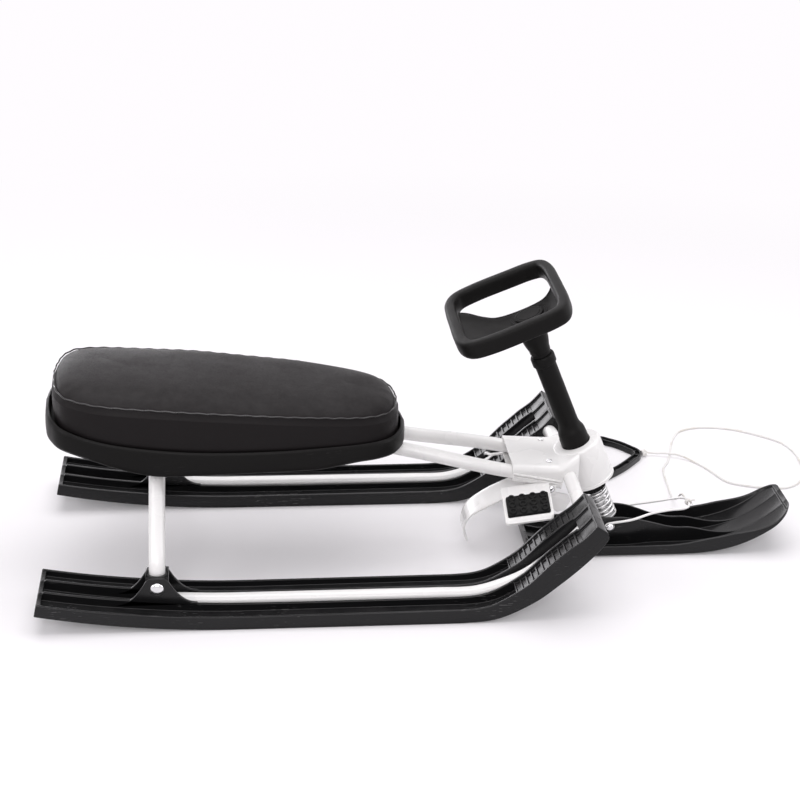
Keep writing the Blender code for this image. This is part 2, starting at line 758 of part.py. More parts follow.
def head_upper_cover(paint):
    name = "head_upper_cover"
    cover = finish(name, cover_solid(name, COVER_SHEET, COVER_REAR_X, TOUCH_GAP), paint)
    high = COLLAR_TOP - COLLAR_BOTTOM
    collar = turned("collar", [(0, 0), (COLLAR_RADIUS + 0.0012, 0), (COLLAR_RADIUS + 0.0012, 0.004),
                               (COLLAR_RADIUS, 0.005), (COLLAR_RADIUS, high - 0.004), (COLLAR_RADIUS - 0.004, high),
                               (0, high)], 30)
    cut(cover, finish("collar_outside", collar, paint, axis_frame(COLLAR_BOTTOM)), "UNION")
    hollow = cover_solid("hollow", 0.0, COVER_REAR_X - 0.01, -0.02)
    cut(cover, finish("cover_hollow", hollow, paint))
    bore = turned("collar_bore", [(0, -0.01), (COLLAR_RADIUS - COVER_SHEET, -0.01),
                                  (COLLAR_RADIUS - COVER_SHEET, high - 0.004 - COVER_SHEET),
                                  (COLLAR_RADIUS - COVER_SHEET - 0.003, high - COVER_SHEET), (0, high - COVER_SHEET)], 30)
    cut(cover, finish("collar_hollow", bore, paint, axis_frame(COLLAR_BOTTOM)))
    mouth = turned("mouth", [(0, -0.02), (BOOT_RADIUS + 0.0008, -0.02), (BOOT_RADIUS + 0.0008, 0.02), (0, 0.02)], 20)
    cut(cover, finish("boot_mouth", mouth, paint, axis_frame(COLLAR_TOP)))
    arch = cross_bar_mesh("arch", HOOP_TUBE / 2 + RUNNING_GAP, -0.1, 0.1, 20)
    cut(cover, finish("hoop_arch", arch, paint, Matrix.Translation((CROSS_X, 0, CROSS_Z))))
    for side in (-1, 1):
        drill = turned("screw_hole", [(0, -0.006), (COVER_SCREW / 2 + TOUCH_GAP, -0.006),
                                      (COVER_SCREW / 2 + TOUCH_GAP, 0.006), (0, 0.006)], 12)
        cut(cover, finish(f"screw_hole_{side}", drill, paint, Matrix.Translation(screw_place(side))))
    slot = box_mesh("slot", (CROSS_X - HOOP_TUBE / 2 - RUNNING_GAP, -0.1, CROSS_Z - 0.06),
                    (CROSS_X + HOOP_TUBE / 2 + RUNNING_GAP, 0.1, CROSS_Z))
    cut(cover, finish("hoop_slot", slot, paint))
    return cover


def head_lower_cover(paint):
    """Shallow pressed pan that closes the head from below, flanged along both sides."""
    rings = []
    wall = COVER_SHEET
    for x in (COVER_REAR_X, 0.16, 0.19, CROSS_X - HOOP_TUBE / 2 - 0.002):
        half = head_width(x)
        seam = main_tube_height(x) - TOUCH_GAP
        low = seam - MAIN_TUBE / 2 - TOUCH_GAP * 2
        bend = 0.008
        inside = [(half, seam)]
        outside = [(half + wall, seam)]
        for k in range(5):
            angle = math.pi / 2 * k / 4
            across = half - bend + bend * math.cos(angle)
            down = low + bend - bend * math.sin(angle)
            inside.append((across, down))
            outside.append((across + wall * math.cos(angle), down - wall * math.sin(angle)))
        inside += [(-y, z) for y, z in inside[::-1]]
        outside += [(-y, z) for y, z in outside[::-1]]
        rings.append([Vector((x, y, z)) for y, z in outside + inside[::-1]])
    return finish("head_lower_cover", loft(rings, "head_lower_cover"), paint)


def head_tube(steel):
    """Steel bearing tube of the steering head, with a saddle web back to the hoop."""
    high = COLLAR_TOP - COLLAR_BOTTOM
    bore = SHAFT_RADIUS + RUNNING_GAP
    low = 0.001
    profile = [(bore, low), (HEAD_TUBE_RADIUS, low), (HEAD_TUBE_RADIUS, high - 0.012), (bore, high - 0.012)]
    tube = finish("head_tube", turned("head_tube", profile, 28), steel, axis_frame(COLLAR_BOTTOM))
    rear = CROSS_X + 0.004
    front = on_axis(0.155).x - HEAD_TUBE_RADIUS + 0.004
    web = box_mesh("web", (rear, -0.012, CROSS_Z - 0.016), (front, 0.012, CROSS_Z + 0.012))
    cut(tube, finish("saddle_web", web, steel), "UNION")
    seat = cross_bar_mesh("saddle", HOOP_TUBE / 2 + TOUCH_GAP, -0.05, 0.05, 20)
    cut(tube, finish("saddle_seat", seat, steel, Matrix.Translation((CROSS_X, 0, CROSS_Z))))
    drill = turned("drill", [(0, -0.05), (bore, -0.05), (bore, 0.15), (0, 0.15)], 28)
    cut(tube, finish("head_bore", drill, steel, axis_frame(COLLAR_BOTTOM)))
    return tube


def steering_shaft(steel):
    """Steering shaft, bored from below for the sliding ski stem."""
    low = COLLAR_BOTTOM - RING_THICKNESS
    deep = 0.085
    bore = STEM_RADIUS + RUNNING_GAP
    high = WHEEL_HUB - 0.012 - low
    profile = [(bore, 0), (SHAFT_RADIUS, 0), (SHAFT_RADIUS, high), (0, high), (0, deep), (bore, deep)]
    return finish("steering_shaft", turned("steering_shaft", profile, 20), steel, axis_frame(low))


def spring_ring(rubber):
    """Thick ring between the head tube and the top of the spring."""
    bore = SHAFT_RADIUS + TOUCH_GAP
    out = SPRING_RADIUS + SPRING_WIRE / 2 - 0.001
    high = RING_THICKNESS - 0.0004
    profile = [(bore, 0), (out - 0.002, 0), (out, 0.002), (out, high - 0.0015), (out - 0.0015, high), (bore, high)]
    return finish("spring_ring", turned("spring_ring", profile, 20), rubber,
                  axis_frame(COLLAR_BOTTOM - RING_THICKNESS + 0.0009))


def column_sleeve(plastic):
    """Plastic sleeve over the shaft: a wide boot at the head, a slim tube and a collar under the wheel."""
    low = COLLAR_TOP - 0.0085
    bore = SHAFT_RADIUS + TOUCH_GAP
    rise = (0.365 - low)
    profile = [(bore, 0), (BOOT_RADIUS - 0.001, 0), (BOOT_RADIUS, 0.0015), (BOOT_RADIUS - 0.0012, 0.030),
               (BOOT_RADIUS - 0.0035, 0.0365), (SLEEVE_RADIUS, 0.048), (SLEEVE_RADIUS, rise - 0.017),
               (SLEEVE_RADIUS + 0.0025, rise - 0.0155), (SLEEVE_RADIUS + 0.0025, rise - 0.002),
               (SLEEVE_RADIUS + 0.001, rise), (bore, rise)]
    return finish("column_sleeve", turned("column_sleeve", profile, 20), plastic, axis_frame(low), 30)


# Wheel rim centre line, in the wheel's plane: forward of the axis, and out from it
RIM_ROUTE = ((-1.0, 0.0), (-0.985, 0.40), (-0.90, 0.70), (-0.62, 0.90), (-0.20, 1.0), (0.25, 0.985), (0.60, 0.945),
             (0.885, 0.82), (0.98, 0.52), (1.0, 0.0))


def rim_route(count):
    rear = WHEEL_REAR - WHEEL_RIM_WIDTH / 2
    front = WHEEL_FRONT - WHEEL_RIM_WIDTH / 2
    out = (WHEEL_WIDTH - WHEEL_RIM_WIDTH) / 2
    half = []
    for k in range(count + 1):
        f, w = smooth(RIM_ROUTE, k / count)
        half.append((f * (rear if f < 0 else front), w * out))
    half[0] = (-rear, 0.0)
    half[-1] = (front, 0.0)
    return half + [(a, -b) for a, b in half[-2:0:-1]]


def steering_wheel(plastic):
    """Open four-sided wheel: a deep rounded rim, a dished spoke plate and a flared neck."""
    route = rim_route(16)
    section = []
    half = WHEEL_RIM_WIDTH / 2
    deep = WHEEL_RIM_DEPTH
    for k in range(8):
        angle = 2 * math.pi * k / 8 + math.pi / 8
        across = half * math.copysign(abs(math.cos(angle)) ** 0.6, math.cos(angle))
        up = WHEEL_TOP - deep / 2 + deep / 2 * math.copysign(abs(math.sin(angle)) ** 0.75, math.sin(angle))
        section.append((across, up))
    bm = bmesh.new()
    rows = []
    for i, (a, b) in enumerate(route):
        before = Vector(route[i - 1])
        after = Vector(route[(i + 1) % len(route)])
        out = Vector((-(after - before).y, (after - before).x)).normalized()
        rows.append([bm.verts.new((a + out.x * s, b + out.y * s, up)) for s, up in section])
    for i, row in enumerate(rows):
        nxt = rows[(i + 1) % len(rows)]
        for k in range(len(section)):
            m = (k + 1) % len(section)
            bm.faces.new((row[k], row[m], nxt[m], nxt[k]))
    wheel = finish("steering_wheel", bm_to_mesh(bm, "steering_wheel"), plastic, axis_frame(0), 50)
    rear = -(WHEEL_REAR - WHEEL_RIM_WIDTH / 2)
    front = WHEEL_FRONT - WHEEL_RIM_WIDTH / 2
    rim_low = WHEEL_TOP - deep + 0.004
    sheet = 0.006
    steps = ((rear, 0.072, rim_low + 0.002), (rear + 0.022, 0.064, rim_low - 0.005),
             (rear + 0.045, 0.046, WHEEL_HUB + sheet), (rear + 0.066, 0.036, WHEEL_HUB),
             (front - 0.030, 0.036, WHEEL_HUB), (front - 0.015, 0.040, WHEEL_HUB + sheet),
             (front, 0.046, rim_low + 0.001))
    rings = [[Vector((a, -w, s)), Vector((a, w, s)), Vector((a, w * 0.97, s + sheet)), Vector((a, -w * 0.97, s + sheet))]
             for a, w, s in steps]
    cut(wheel, finish("spoke_plate", loft(rings, "spoke_plate"), plastic, axis_frame(0)), "UNION")
    neck = [(0, 0.371), (SLEEVE_RADIUS - 0.001, 0.371), (SLEEVE_RADIUS, 0.378), (0.0205, 0.392), (0.022, 0.404),
            (0.0245, 0.420), (0.034, WHEEL_HUB + 0.003), (0, WHEEL_HUB + 0.003)]
    cut(wheel, finish("neck", turned("neck", neck, 20), plastic, axis_frame(0)), "UNION")
    top = WHEEL_HUB - 0.012 + RUNNING_GAP
    bore = [(0, 0.36), (SHAFT_RADIUS + TOUCH_GAP, 0.36), (SHAFT_RADIUS + TOUCH_GAP, top), (0, top)]
    cut(wheel, finish("wheel_bore", turned("wheel_bore", bore, 24), plastic, axis_frame(0)))
    return wheel


def wheel_badge(plastic):
    """Plain oval cap on the wheel's hub."""
    profile = [(0, 0), (0.024, 0), (0.024, 0.0016), (0.021, 0.0028), (0, 0.0034)]
    return finish("wheel_badge", turned("wheel_badge", profile, 24), plastic,
                  axis_frame(WHEEL_HUB + 0.0063) @ Matrix.Translation((0.004, 0, 0)))


def suspension_spring(steel):
    """Open coil spring round the stem, both ends closed down to a flat coil."""
    per_turn = 10
    total = SPRING_TURNS
    low = SPRING_LOW + SPRING_WIRE / 2
    high = SPRING_HIGH - SPRING_WIRE / 2
    end = SPRING_WIRE * 1.25
    points = []
    count = int(total * per_turn)
    for k in range(count + 1):
        turn = total * k / count
        if turn < 1:
            rise = end * turn
        elif turn > total - 1:
            rise = (high - low) - end * (total - turn)
        else:
            rise = end + (high - low - 2 * end) * (turn - 1) / (total - 2)
        angle = 2 * math.pi * turn
        points.append(Vector((SPRING_RADIUS * math.cos(angle), SPRING_RADIUS * math.sin(angle), low + rise)))
    least = min((points[i] - points[j]).length for i in range(len(points)) for j in range(i + 7, len(points)))
    print(f"suspension_spring: least gap to itself {1000 * (least - SPRING_WIRE):.2f} mm")
    frame = axis_frame(0)
    return tube_curve("suspension_spring", [frame @ p for p in points], SPRING_WIRE, steel, 1)


def ski_stem(steel):
    """Sliding stem with the spring's lower seat and a foot drilled for the pivot bolt."""
    high = COLLAR_BOTTOM - RING_THICKNESS + 0.066
    seat = SPRING_LOW - 0.0004
    profile = [(0, PIVOT_UP - 0.014), (0.0105, PIVOT_UP - 0.014), (0.013, PIVOT_UP - 0.010), (0.013, seat - 0.003),
               (0.0212, seat - 0.003), (0.0212, seat), (STEM_RADIUS, seat), (STEM_RADIUS, high), (0, high)]
    stem = finish("ski_stem", turned("ski_stem", profile, 20), steel, axis_frame(0))
    wide = SKI_RIB_FLARE - 0.0006
    eye = cross_bar_mesh("stem_eye", 0.0095, -wide, wide)
    cut(stem, finish("pivot_eye", eye, steel, Matrix.Translation(on_axis(PIVOT_UP))), "UNION")
    hole = cross_bar_mesh("stem_hole", PIVOT_BOLT / 2 + TOUCH_GAP, -0.04, 0.04)
    cut(stem, finish("stem_drill", hole, steel, Matrix.Translation(on_axis(PIVOT_UP))))
    return stem


SKI_FLAT_END = 0.410
SKI_TIP_RISE = 0.0665
SKI_TIP_POWER = 2.8
SKI_RIM_HEIGHT = 0.0185
SKI_RIB_HEIGHT = 0.055


def ski_sole(x):
    """Height of the ski's sole: flat below the stem, lifted at the rear and swept up to the tip."""
    front = max(x - SKI_FLAT_END, 0) / (TIP_X - SKI_FLAT_END)
    rear = max(SKI_REAR_X + 0.070 - x, 0) / 0.070
    return SKI_TIP_RISE * front ** SKI_TIP_POWER + 0.012 * rear ** 2


def ski_half_width(x):
    """Half width of the ski, with round corners at the tip and at the rear."""
    full = SKI_WIDTH / 2
    for end, radius in ((TIP_X, 0.032), (SKI_REAR_X, 0.020)):
        past = radius - abs(end - x)
        if past > 0:
            full = min(full, SKI_WIDTH / 2 - radius + math.sqrt(max(radius * radius - past * past, 0)))
    return full


def ski_rib(x):
    """Height of the two middle ribs above the sole: tall cheeks at the stem, fading to both ends."""
    pivot = on_axis(PIVOT_UP).x
    if x < pivot:
        return 0.012 + (SKI_RIB_HEIGHT - 0.012) * ease(x, SKI_REAR_X + 0.030, pivot - 0.012)
    low = SKI_RIB_HEIGHT - 0.024 * ease(x, pivot + 0.014, 0.430) - 0.006 * ease(x, 0.43, 0.50)
    return low - (low - SKI_FLOOR) * ease(x, 0.50, TIP_X - 0.022)


def ski_rib_inside(x):
    """Half the space between the ribs: wide round the stem and its spring seat, narrower ahead and behind."""
    pivot = on_axis(PIVOT_UP).x
    wide = ease(x, pivot - 0.090, pivot - 0.038) * (1 - ease(x, pivot + 0.030, pivot + 0.085))
    return SKI_RIB_INSIDE + (SKI_RIB_FLARE - SKI_RIB_INSIDE) * wide


def ski_rings():
    marks = [SKI_REAR_X, SKI_REAR_X + 0.004, SKI_REAR_X + 0.0055, SKI_REAR_X + 0.011, SKI_REAR_X + 0.02]
    marks += list(np.linspace(SKI_REAR_X + 0.035, 0.335, 7)) + list(np.linspace(0.355, TIP_X - 0.045, 9))
    marks += [TIP_X - 0.032, TIP_X - 0.022, TIP_X - 0.013, TIP_X - 0.0068, TIP_X - 0.0052, TIP_X - 0.0018, TIP_X]
    rings = []
    for x in marks:
        sole = ski_sole(x)
        half = ski_half_width(x)
        bulge = ease(x, 0.40, 0.48) * (1 - ease(x, 0.50, TIP_X))
        fall = 0.0075 * ease(x, 0.50, TIP_X)
        rim = sole + SKI_RIM_HEIGHT + 0.008 * bulge - fall
        floor = sole + SKI_FLOOR
        rib = max(sole + ski_rib(x), floor + 0.0004)
        if x < SKI_REAR_X + 0.005 or x > TIP_X - 0.006:
            floor = rim - 0.0004
            rib = rim - 0.0002
        inner = ski_rib_inside(x)
        outer = inner + SKI_RIB
        side = [(half, sole + 0.003), (half, rim), (half - SKI_RIM, rim), (half - SKI_RIM - 0.002, floor),
                (outer, floor), (outer - 0.0004, rib), (inner, rib), (inner, floor)]
        ring = [(half - 0.004, sole)] + side
        rings.append([Vector((x, y, z)) for y, z in ring + [(-y, z) for y, z in ring[::-1]]])
    return rings


def front_ski(plastic):
    ski = finish("front_ski", loft(ski_rings(), "front_ski"), plastic, sharp=40)
    hole = cross_bar_mesh("ski_hole", PIVOT_BOLT / 2 + TOUCH_GAP, -0.04, 0.04)
    cut(ski, finish("ski_drill", hole, plastic, Matrix.Translation(on_axis(PIVOT_UP))))
    return ski


BAIL_Y = SKI_RIB_FLARE + SKI_RIB + BAIL_WIRE / 2 + 0.0012


def cross_bolt(name, place, start, end, bore, head, steel, sides=12):
    """Bolt along Y with a domed head at its start and a plain end."""
    out = -1 if end > start else 1
    steps = ((0.0, -0.0046), (head * 0.55, -0.0042), (head * 0.9, -0.0022), (head, -0.0002), (head, 0.0),
             (bore, 0.0), (bore, abs(end - start)), (0.0, abs(end - start)))
    mesh = turned(name, steps, sides)
    turn = Matrix.Rotation(math.pi / 2 if out == 1 else -math.pi / 2, 4, "X")
    return finish(name, mesh, steel, Matrix.Translation((place[0], start, place[1])) @ turn)


def cross_nut(name, place, low, high, bore, across, steel):
    """Hexagon nut along Y."""
    profile = [(bore, 0), (across, 0), (across, abs(high - low)), (bore, abs(high - low))]
    turn = Matrix.Rotation(-math.pi / 2, 4, "X")
    bm = bmesh.new()
    rows = []
    for radius, z in profile:
        count = 12
        ring = []
        for k in range(count):
            angle = 2 * math.pi * k / count
            reach = radius
            if radius == across:
                reach = radius * (1.0 if k % 2 == 0 else math.cos(math.pi / 6))
            ring.append(bm.verts.new((reach * math.cos(angle), reach * math.sin(angle), z)))
        rows.append(ring)
    for ring, nxt in zip(rows, rows[1:] + rows[:1]):
        for k in range(12):
            m = (k + 1) % 12
            bm.faces.new((ring[k], nxt[k], nxt[m], ring[m]))
    return finish(name, bm_to_mesh(bm, name), steel, Matrix.Translation((place[0], low, place[1])) @ turn)


# Tow bail: its near arm, crossbar and far arm, from the ski's pivot bolt
BAIL_ROUTE = ((0.345, -0.0315, 0.0530), (0.378, -0.0262, 0.0612), (0.408, -0.0215, 0.0643), (0.432, -0.0190, 0.0650),
              (0.4425, -0.0130, 0.0650), (0.4465, -0.0030, 0.0647), (0.4468, 0.0130, 0.0645), (0.4440, 0.0200, 0.0640),
              (0.4330, 0.0245, 0.0625), (0.4120, 0.0272, 0.0575), (0.3780, 0.0305, 0.0510), (0.3450, 0.0318, 0.0465))


def bail_eye(side, tail):
    """Points of the open eye round the pivot bolt; tail is the route's next point."""
    pivot = on_axis(PIVOT_UP)
    radius = PIVOT_BOLT / 2 + BAIL_WIRE / 2 + TOUCH_GAP
    aim = math.atan2(tail[2] - pivot.z, tail[0] - pivot.x)
    points = []
    for k in range(9):
        angle = aim + math.pi / 2 + 2 * math.pi * 0.76 * (1 - k / 8)
        points.append(Vector((pivot.x + radius * math.cos(angle), side * BAIL_Y, pivot.z + radius * math.sin(angle))))
    return points


def tow_bail(steel):
    near = bail_eye(-1, BAIL_ROUTE[0])
    far = bail_eye(1, BAIL_ROUTE[-1])
    lift = Vector((0.012, 0, 0.0042))
    route = [near[-1] + lift * 0.2] + [Vector(p) for p in BAIL_ROUTE] + [far[-1] + lift * 0.2]
    middle = even_points(route, 30)
    return tube_curve("tow_bail", near[:-1] + middle + far[:-1][::-1], BAIL_WIRE, steel, 1)


# Pull handle: a triangle of channel bar that lies on the ground
HANDLE_CORNERS = ((0.4420, 0.3055), (0.3700, 0.3770), (0.3480, 0.2080))
HANDLE_BAR = 0.014
HANDLE_DEEP = 0.011
HANDLE_ROUND = 0.026

ROPE_LOW = ROPE / 2 + 0.0002
ROPE_MEET = 0.0004
BAIL_KNOT = Vector((0.44675, 0.0050, 0.0646))
BAIL_KNOT_RADIUS = 0.0058
BAIL_KNOT_LONG = 0.008
END_KNOT_RADIUS = 0.006
END_KNOT_LONG = 0.012
END_KNOT_HEIGHT = END_KNOT_RADIUS + 0.0005
LEAD_ROUTE = ((0.4485, 0.030, 0.0585), (0.4497, 0.048, 0.0550), (0.4510, 0.063, 0.0490), (0.4525, 0.080, 0.0360),
              (0.4545, 0.105, 0.0175), (0.4570, 0.130, 0.0060), (0.4590, 0.155, ROPE_LOW),
              (0.4620, 0.190, ROPE_LOW), (0.4645, 0.222, ROPE_LOW), (0.4668, 0.2400, ROPE_LOW))
RUN_ROUTE = ((0.4720, 0.258), (0.4830, 0.276), (0.4920, 0.300), (0.5010, 0.328), (0.5100, 0.356), (0.5210, 0.3815),
             (0.5370, 0.405), (0.5670, 0.419), (0.5970, 0.421), (0.6280, 0.415), (0.6570, 0.402), (0.6900, 0.378),
             (0.7150, 0.354), (0.7280, 0.322), (0.7300, 0.280), (0.7210, 0.230), (0.7020, 0.188), (0.6720, 0.168),
             (0.6350, 0.170), (0.5990, 0.180), (0.5720, 0.196), (0.5580, 0.226), (0.5450, 0.256), (0.5260, 0.284),
             (0.5020, 0.2990), (0.4800, 0.3050), (0.4660, 0.3085))
CROSSING = Vector((0.4945, 0.3015))


def end_knot_place(along):
    """Point on the line that leads out of the handle's rope corner, along it from the corner's outer wall."""
    corner, after, before = [Vector(c) for c in HANDLE_CORNERS]
    low = corner + (before - corner).normalized() * HANDLE_ROUND
    high = corner + (after - corner).normalized() * HANDLE_ROUND
    apex = (low + 2 * corner + high) / 4
    out = (apex - (corner + after + before) / 3).normalized()
    point = apex + out * (HANDLE_BAR / 2 + along)
    return Vector((point.x, point.y, END_KNOT_HEIGHT))


def lead_points():
    """Rope from the bail's knot down to the ground and away to the rider's left."""
    start = BAIL_KNOT + Vector((0.0005, BAIL_KNOT_LONG * 0.475 + ROPE_MEET, -0.8 * BAIL_KNOT_RADIUS))
    return even_points([start] + [Vector(p) for p in LEAD_ROUTE], 26)


def run_points():
    """Rope on the ground: one open loop that crosses over itself and ends at the handle's knot."""
    before, last = Vector(LEAD_ROUTE[-2]), Vector(LEAD_ROUTE[-1])
    start = last + (last - before).normalized() * ROPE_MEET
    end = end_knot_place(TOUCH_GAP + END_KNOT_LONG + ROPE_MEET)
    route = [start] + [Vector((x, y, ROPE_LOW)) for x, y in RUN_ROUTE] + [Vector((end.x, end.y, ROPE_LOW))]
    points = even_points(route, 62, 1500)
    half = len(points) // 2
    for k, point in enumerate(points):
        if k > half:
            away = (Vector((point.x, point.y)) - CROSSING).length
            over = (ROPE + 0.0012) * (1 - ease(away, 0.012, 0.045))
            near = (Vector((point.x, point.y)) - Vector((end.x, end.y))).length
            up = (END_KNOT_HEIGHT - ROPE_LOW) * (1 - ease(near, 0.006, 0.030))
            point.z += max(over, up)
    return points


def rope_knot(name, centre, along, bore, out, long, cord):
    """Knot as a short thick ring or, with no bore, a round lump."""
    turn = Vector(along).to_track_quat("Z", "Y").to_matrix().to_4x4()
    h = long / 2
    outer = [(out * 0.72, -h * 0.95), (out, -h * 0.45), (out, h * 0.45), (out * 0.72, h * 0.95)]
    profile = outer + ([(bore, h * 0.6), (bore, -h * 0.6)] if bore else [(0, h), (0, -h)])
    return finish(name, turned(name, profile, 12), cord, Matrix.Translation(Vector(centre)) @ turn)


def closed_sweep(name, route, section):
    """Ring solid: a section of (out, up) points carried round a closed plan route."""
    bm = bmesh.new()
    rows = []
    for i, (a, b) in enumerate(route):
        before = Vector(route[i - 1])
        after = Vector(route[(i + 1) % len(route)])
        out = Vector(((after - before).y, -(after - before).x)).normalized()
        rows.append([bm.verts.new((a + out.x * s, b + out.y * s, up)) for s, up in section])
    for i, row in enumerate(rows):
        nxt = rows[(i + 1) % len(rows)]
        for k in range(len(section)):
            m = (k + 1) % len(section)
            bm.faces.new((row[k], row[m], nxt[m], nxt[k]))
    return bm_to_mesh(bm, name)


def tow_handle(plastic):
    """Flat triangular pull handle of channel section, lying on the ground."""
    corners = [Vector(c) for c in HANDLE_CORNERS]
    middle = sum(corners, Vector((0, 0))) / 3
    route = []
    for i, corner in enumerate(corners):
        before = corners[i - 1]
        after = corners[(i + 1) % 3]
        low = corner + (before - corner).normalized() * HANDLE_ROUND
        high = corner + (after - corner).normalized() * HANDLE_ROUND
        for t in np.linspace(0, 1, 6):
            route.append(tuple(low * (1 - t) ** 2 + corner * 2 * t * (1 - t) + high * t * t))
        centre = (corner + after) / 2
        route.append(tuple(centre + (centre - middle).normalized() * 0.003))
    half = HANDLE_BAR / 2
    section = ((-half, 0), (half, 0), (half, HANDLE_DEEP), (half - 0.003, HANDLE_DEEP),
               (half - 0.0035, 0.005), (-half + 0.0035, 0.005), (-half + 0.003, HANDLE_DEEP), (-half, HANDLE_DEEP))
    return finish("tow_handle", closed_sweep("tow_handle", route, section), plastic, sharp=30)


# Brake lever: claw centre line behind and below the pivot, as (x, z)
BRAKE_EAR_Y = MAIN_HALF_SPACING + MAIN_TUBE / 2 + COVER_SHEET + 0.0008
CLAW_ROUTE = ((0.188, 0.1165), (0.160, 0.1080), (0.128, 0.0935), (0.100, 0.0780), (0.0790, 0.0620), (0.0705, 0.0440),
              (0.0705, 0.0280), (0.0765, 0.0130))


BRAKE_SADDLE_LOW = 0.1175
BRAKE_SADDLE_REAR = 0.164
BRAKE_SADDLE_FRONT = BRAKE_PIVOT_X + 0.008
BRAKE_EAR_TOP = BRAKE_PIVOT_Z + 0.0065
WING_REAR = 0.116
WING_FRONT = 0.200
WING_CORNER = 0.006
WING_ROOT_HEIGHT = 0.1365
WING_RISE = 0.13
WING_FALL = 0.40
WING_LEVEL_X = 0.160
CHEEK_OUTLINE = ((0.194, 0.1160), (0.206, 0.1162), (0.232, 0.110), (0.237, 0.099), (0.227, 0.081), (0.214, 0.079),
                 (0.190, 0.110))
CHEEK_IN = 0.0445
CHEEK_OUT = 0.0475
CLAW_STATIONS = 13
PAD_REAR = 0.124
PAD_FRONT = 0.187
PAD_INSET = 0.013
PAD_OUTSET = 0.006
PAD_THICK = 0.0045
PAD_RING_SIDES = 6
LEG_NUT = 0.007
LEG_NUT_RADIUS = 0.0075


def pedal_height(x, y):
    """Top of a pedal wing: it slopes down outward and rises a little to the front."""
    return WING_ROOT_HEIGHT + WING_RISE * (x - WING_LEVEL_X) - WING_FALL * (abs(y) - BRAKE_EAR_Y)


def brake_lever(paint):
    name = "brake_lever"
    sheet = BRAKE_SHEET
    ear = BRAKE_EAR_Y
    low = BRAKE_SADDLE_LOW
    high = BRAKE_EAR_TOP
    outline = [(ear + sheet, high), (ear + sheet, low + 0.003), (ear - 0.002, low - sheet + 0.0004),
               (-ear + 0.002, low - sheet + 0.0004), (-ear - sheet, low + 0.003), (-ear - sheet, high), (-ear, high),
               (-ear, low + 0.005), (-ear + 0.004, low), (ear - 0.004, low), (ear, low + 0.005), (ear, high)]
    ends = (BRAKE_SADDLE_REAR, BRAKE_SADDLE_FRONT)
    saddle = loft([[Vector((x, y, z)) for y, z in outline] for x in ends], name)
    lever = finish(name, saddle, paint)
    for side in (-1, 1):
        rings = []
        for x, round_off in ((WING_REAR, WING_CORNER), (WING_REAR + WING_CORNER, 0), (WING_FRONT - WING_CORNER, 0),
                             (WING_FRONT, WING_CORNER)):
            edge = PEDAL_OUTER_Y - round_off
            ring = []
            for y, lift in ((ear + 0.0002, 0), (edge, 0), (edge + 0.003, -0.004), (edge + 0.002, -0.009),
                            (edge - 0.0004, -0.008), (edge, -sheet - 0.001), (ear + 0.0002, -sheet)):
                ring.append(Vector((x, side * y, pedal_height(x, y) + lift)))
            rings.append(ring)
        cut(lever, finish(f"wing_{side}", loft(rings, "wing"), paint), "UNION")
        edges = sorted((side * CHEEK_IN, side * CHEEK_OUT))
        cut(lever, finish(f"cheek_{side}", prism("cheek", list(CHEEK_OUTLINE), *edges), paint), "UNION")
    rings = []
    for k in range(CLAW_STATIONS):
        t = k / (CLAW_STATIONS - 1)
        x, z = smooth(CLAW_ROUTE, t)
        ahead = smooth(CLAW_ROUTE, min(t + 0.02, 1))
        behind = smooth(CLAW_ROUTE, max(t - 0.02, 0))
        along = Vector((ahead[0] - behind[0], ahead[1] - behind[1])).normalized()
        thick = sheet / 2
        half = (CLAW_TOP_WIDTH + (CLAW_TIP_WIDTH - CLAW_TOP_WIDTH) * ease(t, 0.35, 1.0)) / 2
        nx, nz = -along.y * thick, along.x * thick
        rings.append([Vector((x + nx, -half, z + nz)), Vector((x + nx, half, z + nz)),
                      Vector((x - nx, half, z - nz)), Vector((x - nx, -half, z - nz))])
    cut(lever, finish("claw", loft(rings, "claw"), paint), "UNION")
    hole = cross_bar_mesh("brake_hole", BRAKE_ROD / 2 + TOUCH_GAP, -0.1, 0.1, 16)
    cut(lever, finish("brake_drill", hole, paint, Matrix.Translation((BRAKE_PIVOT_X, 0, BRAKE_PIVOT_Z))))
    return lever


def pedal_pad(name, side, rubber):
    """Rubber tread block with three rows of four raised rings."""
    x_low = PAD_REAR
    x_high = PAD_FRONT
    y_low = BRAKE_EAR_Y + PAD_INSET
    y_high = PEDAL_OUTER_Y - PAD_OUTSET
    thick = PAD_THICK

    def place(x, y, lift):
        return Vector((x, side * y, pedal_height(x, y) + TOUCH_GAP + lift))
    rings = []
    for lift, inset in ((0, 0), (thick - 0.001, 0), (thick, 0.001)):
        rings.append([place(x_low + inset, y_low + inset, lift), place(x_high - inset, y_low + inset, lift),
                      place(x_high - inset, y_high - inset, lift), place(x_low + inset, y_high - inset, lift)])
    pad = finish(name, loft(rings, name), rubber)
    bm = bmesh.new()
    segments = PAD_RING_SIDES
    for row in range(3):
        for column in range(4):
            cx = x_low + (column + 0.5) * (x_high - x_low) / 4
            cy = y_low + (row + 0.5) * (y_high - y_low) / 3
            rows = []
            for radius, lift in ((0.0060, thick - 0.0006), (0.0056, thick + 0.0020), (0.0034, thick + 0.0020),
                                 (0.0030, thick - 0.0006)):
                rows.append([bm.verts.new(place(cx + radius * math.cos(2 * math.pi * k / segments),
                                                cy + radius * math.sin(2 * math.pi * k / segments), lift))
                             for k in range(segments)])
            for ring, nxt in zip(rows, rows[1:] + rows[:1]):
                for k in range(segments):
                    m = (k + 1) % segments
                    bm.faces.new((ring[k], nxt[k], nxt[m], ring[m]))
    cut(pad, finish(name + "_rings", bm_to_mesh(bm, "rings"), rubber), "UNION")
    return pad


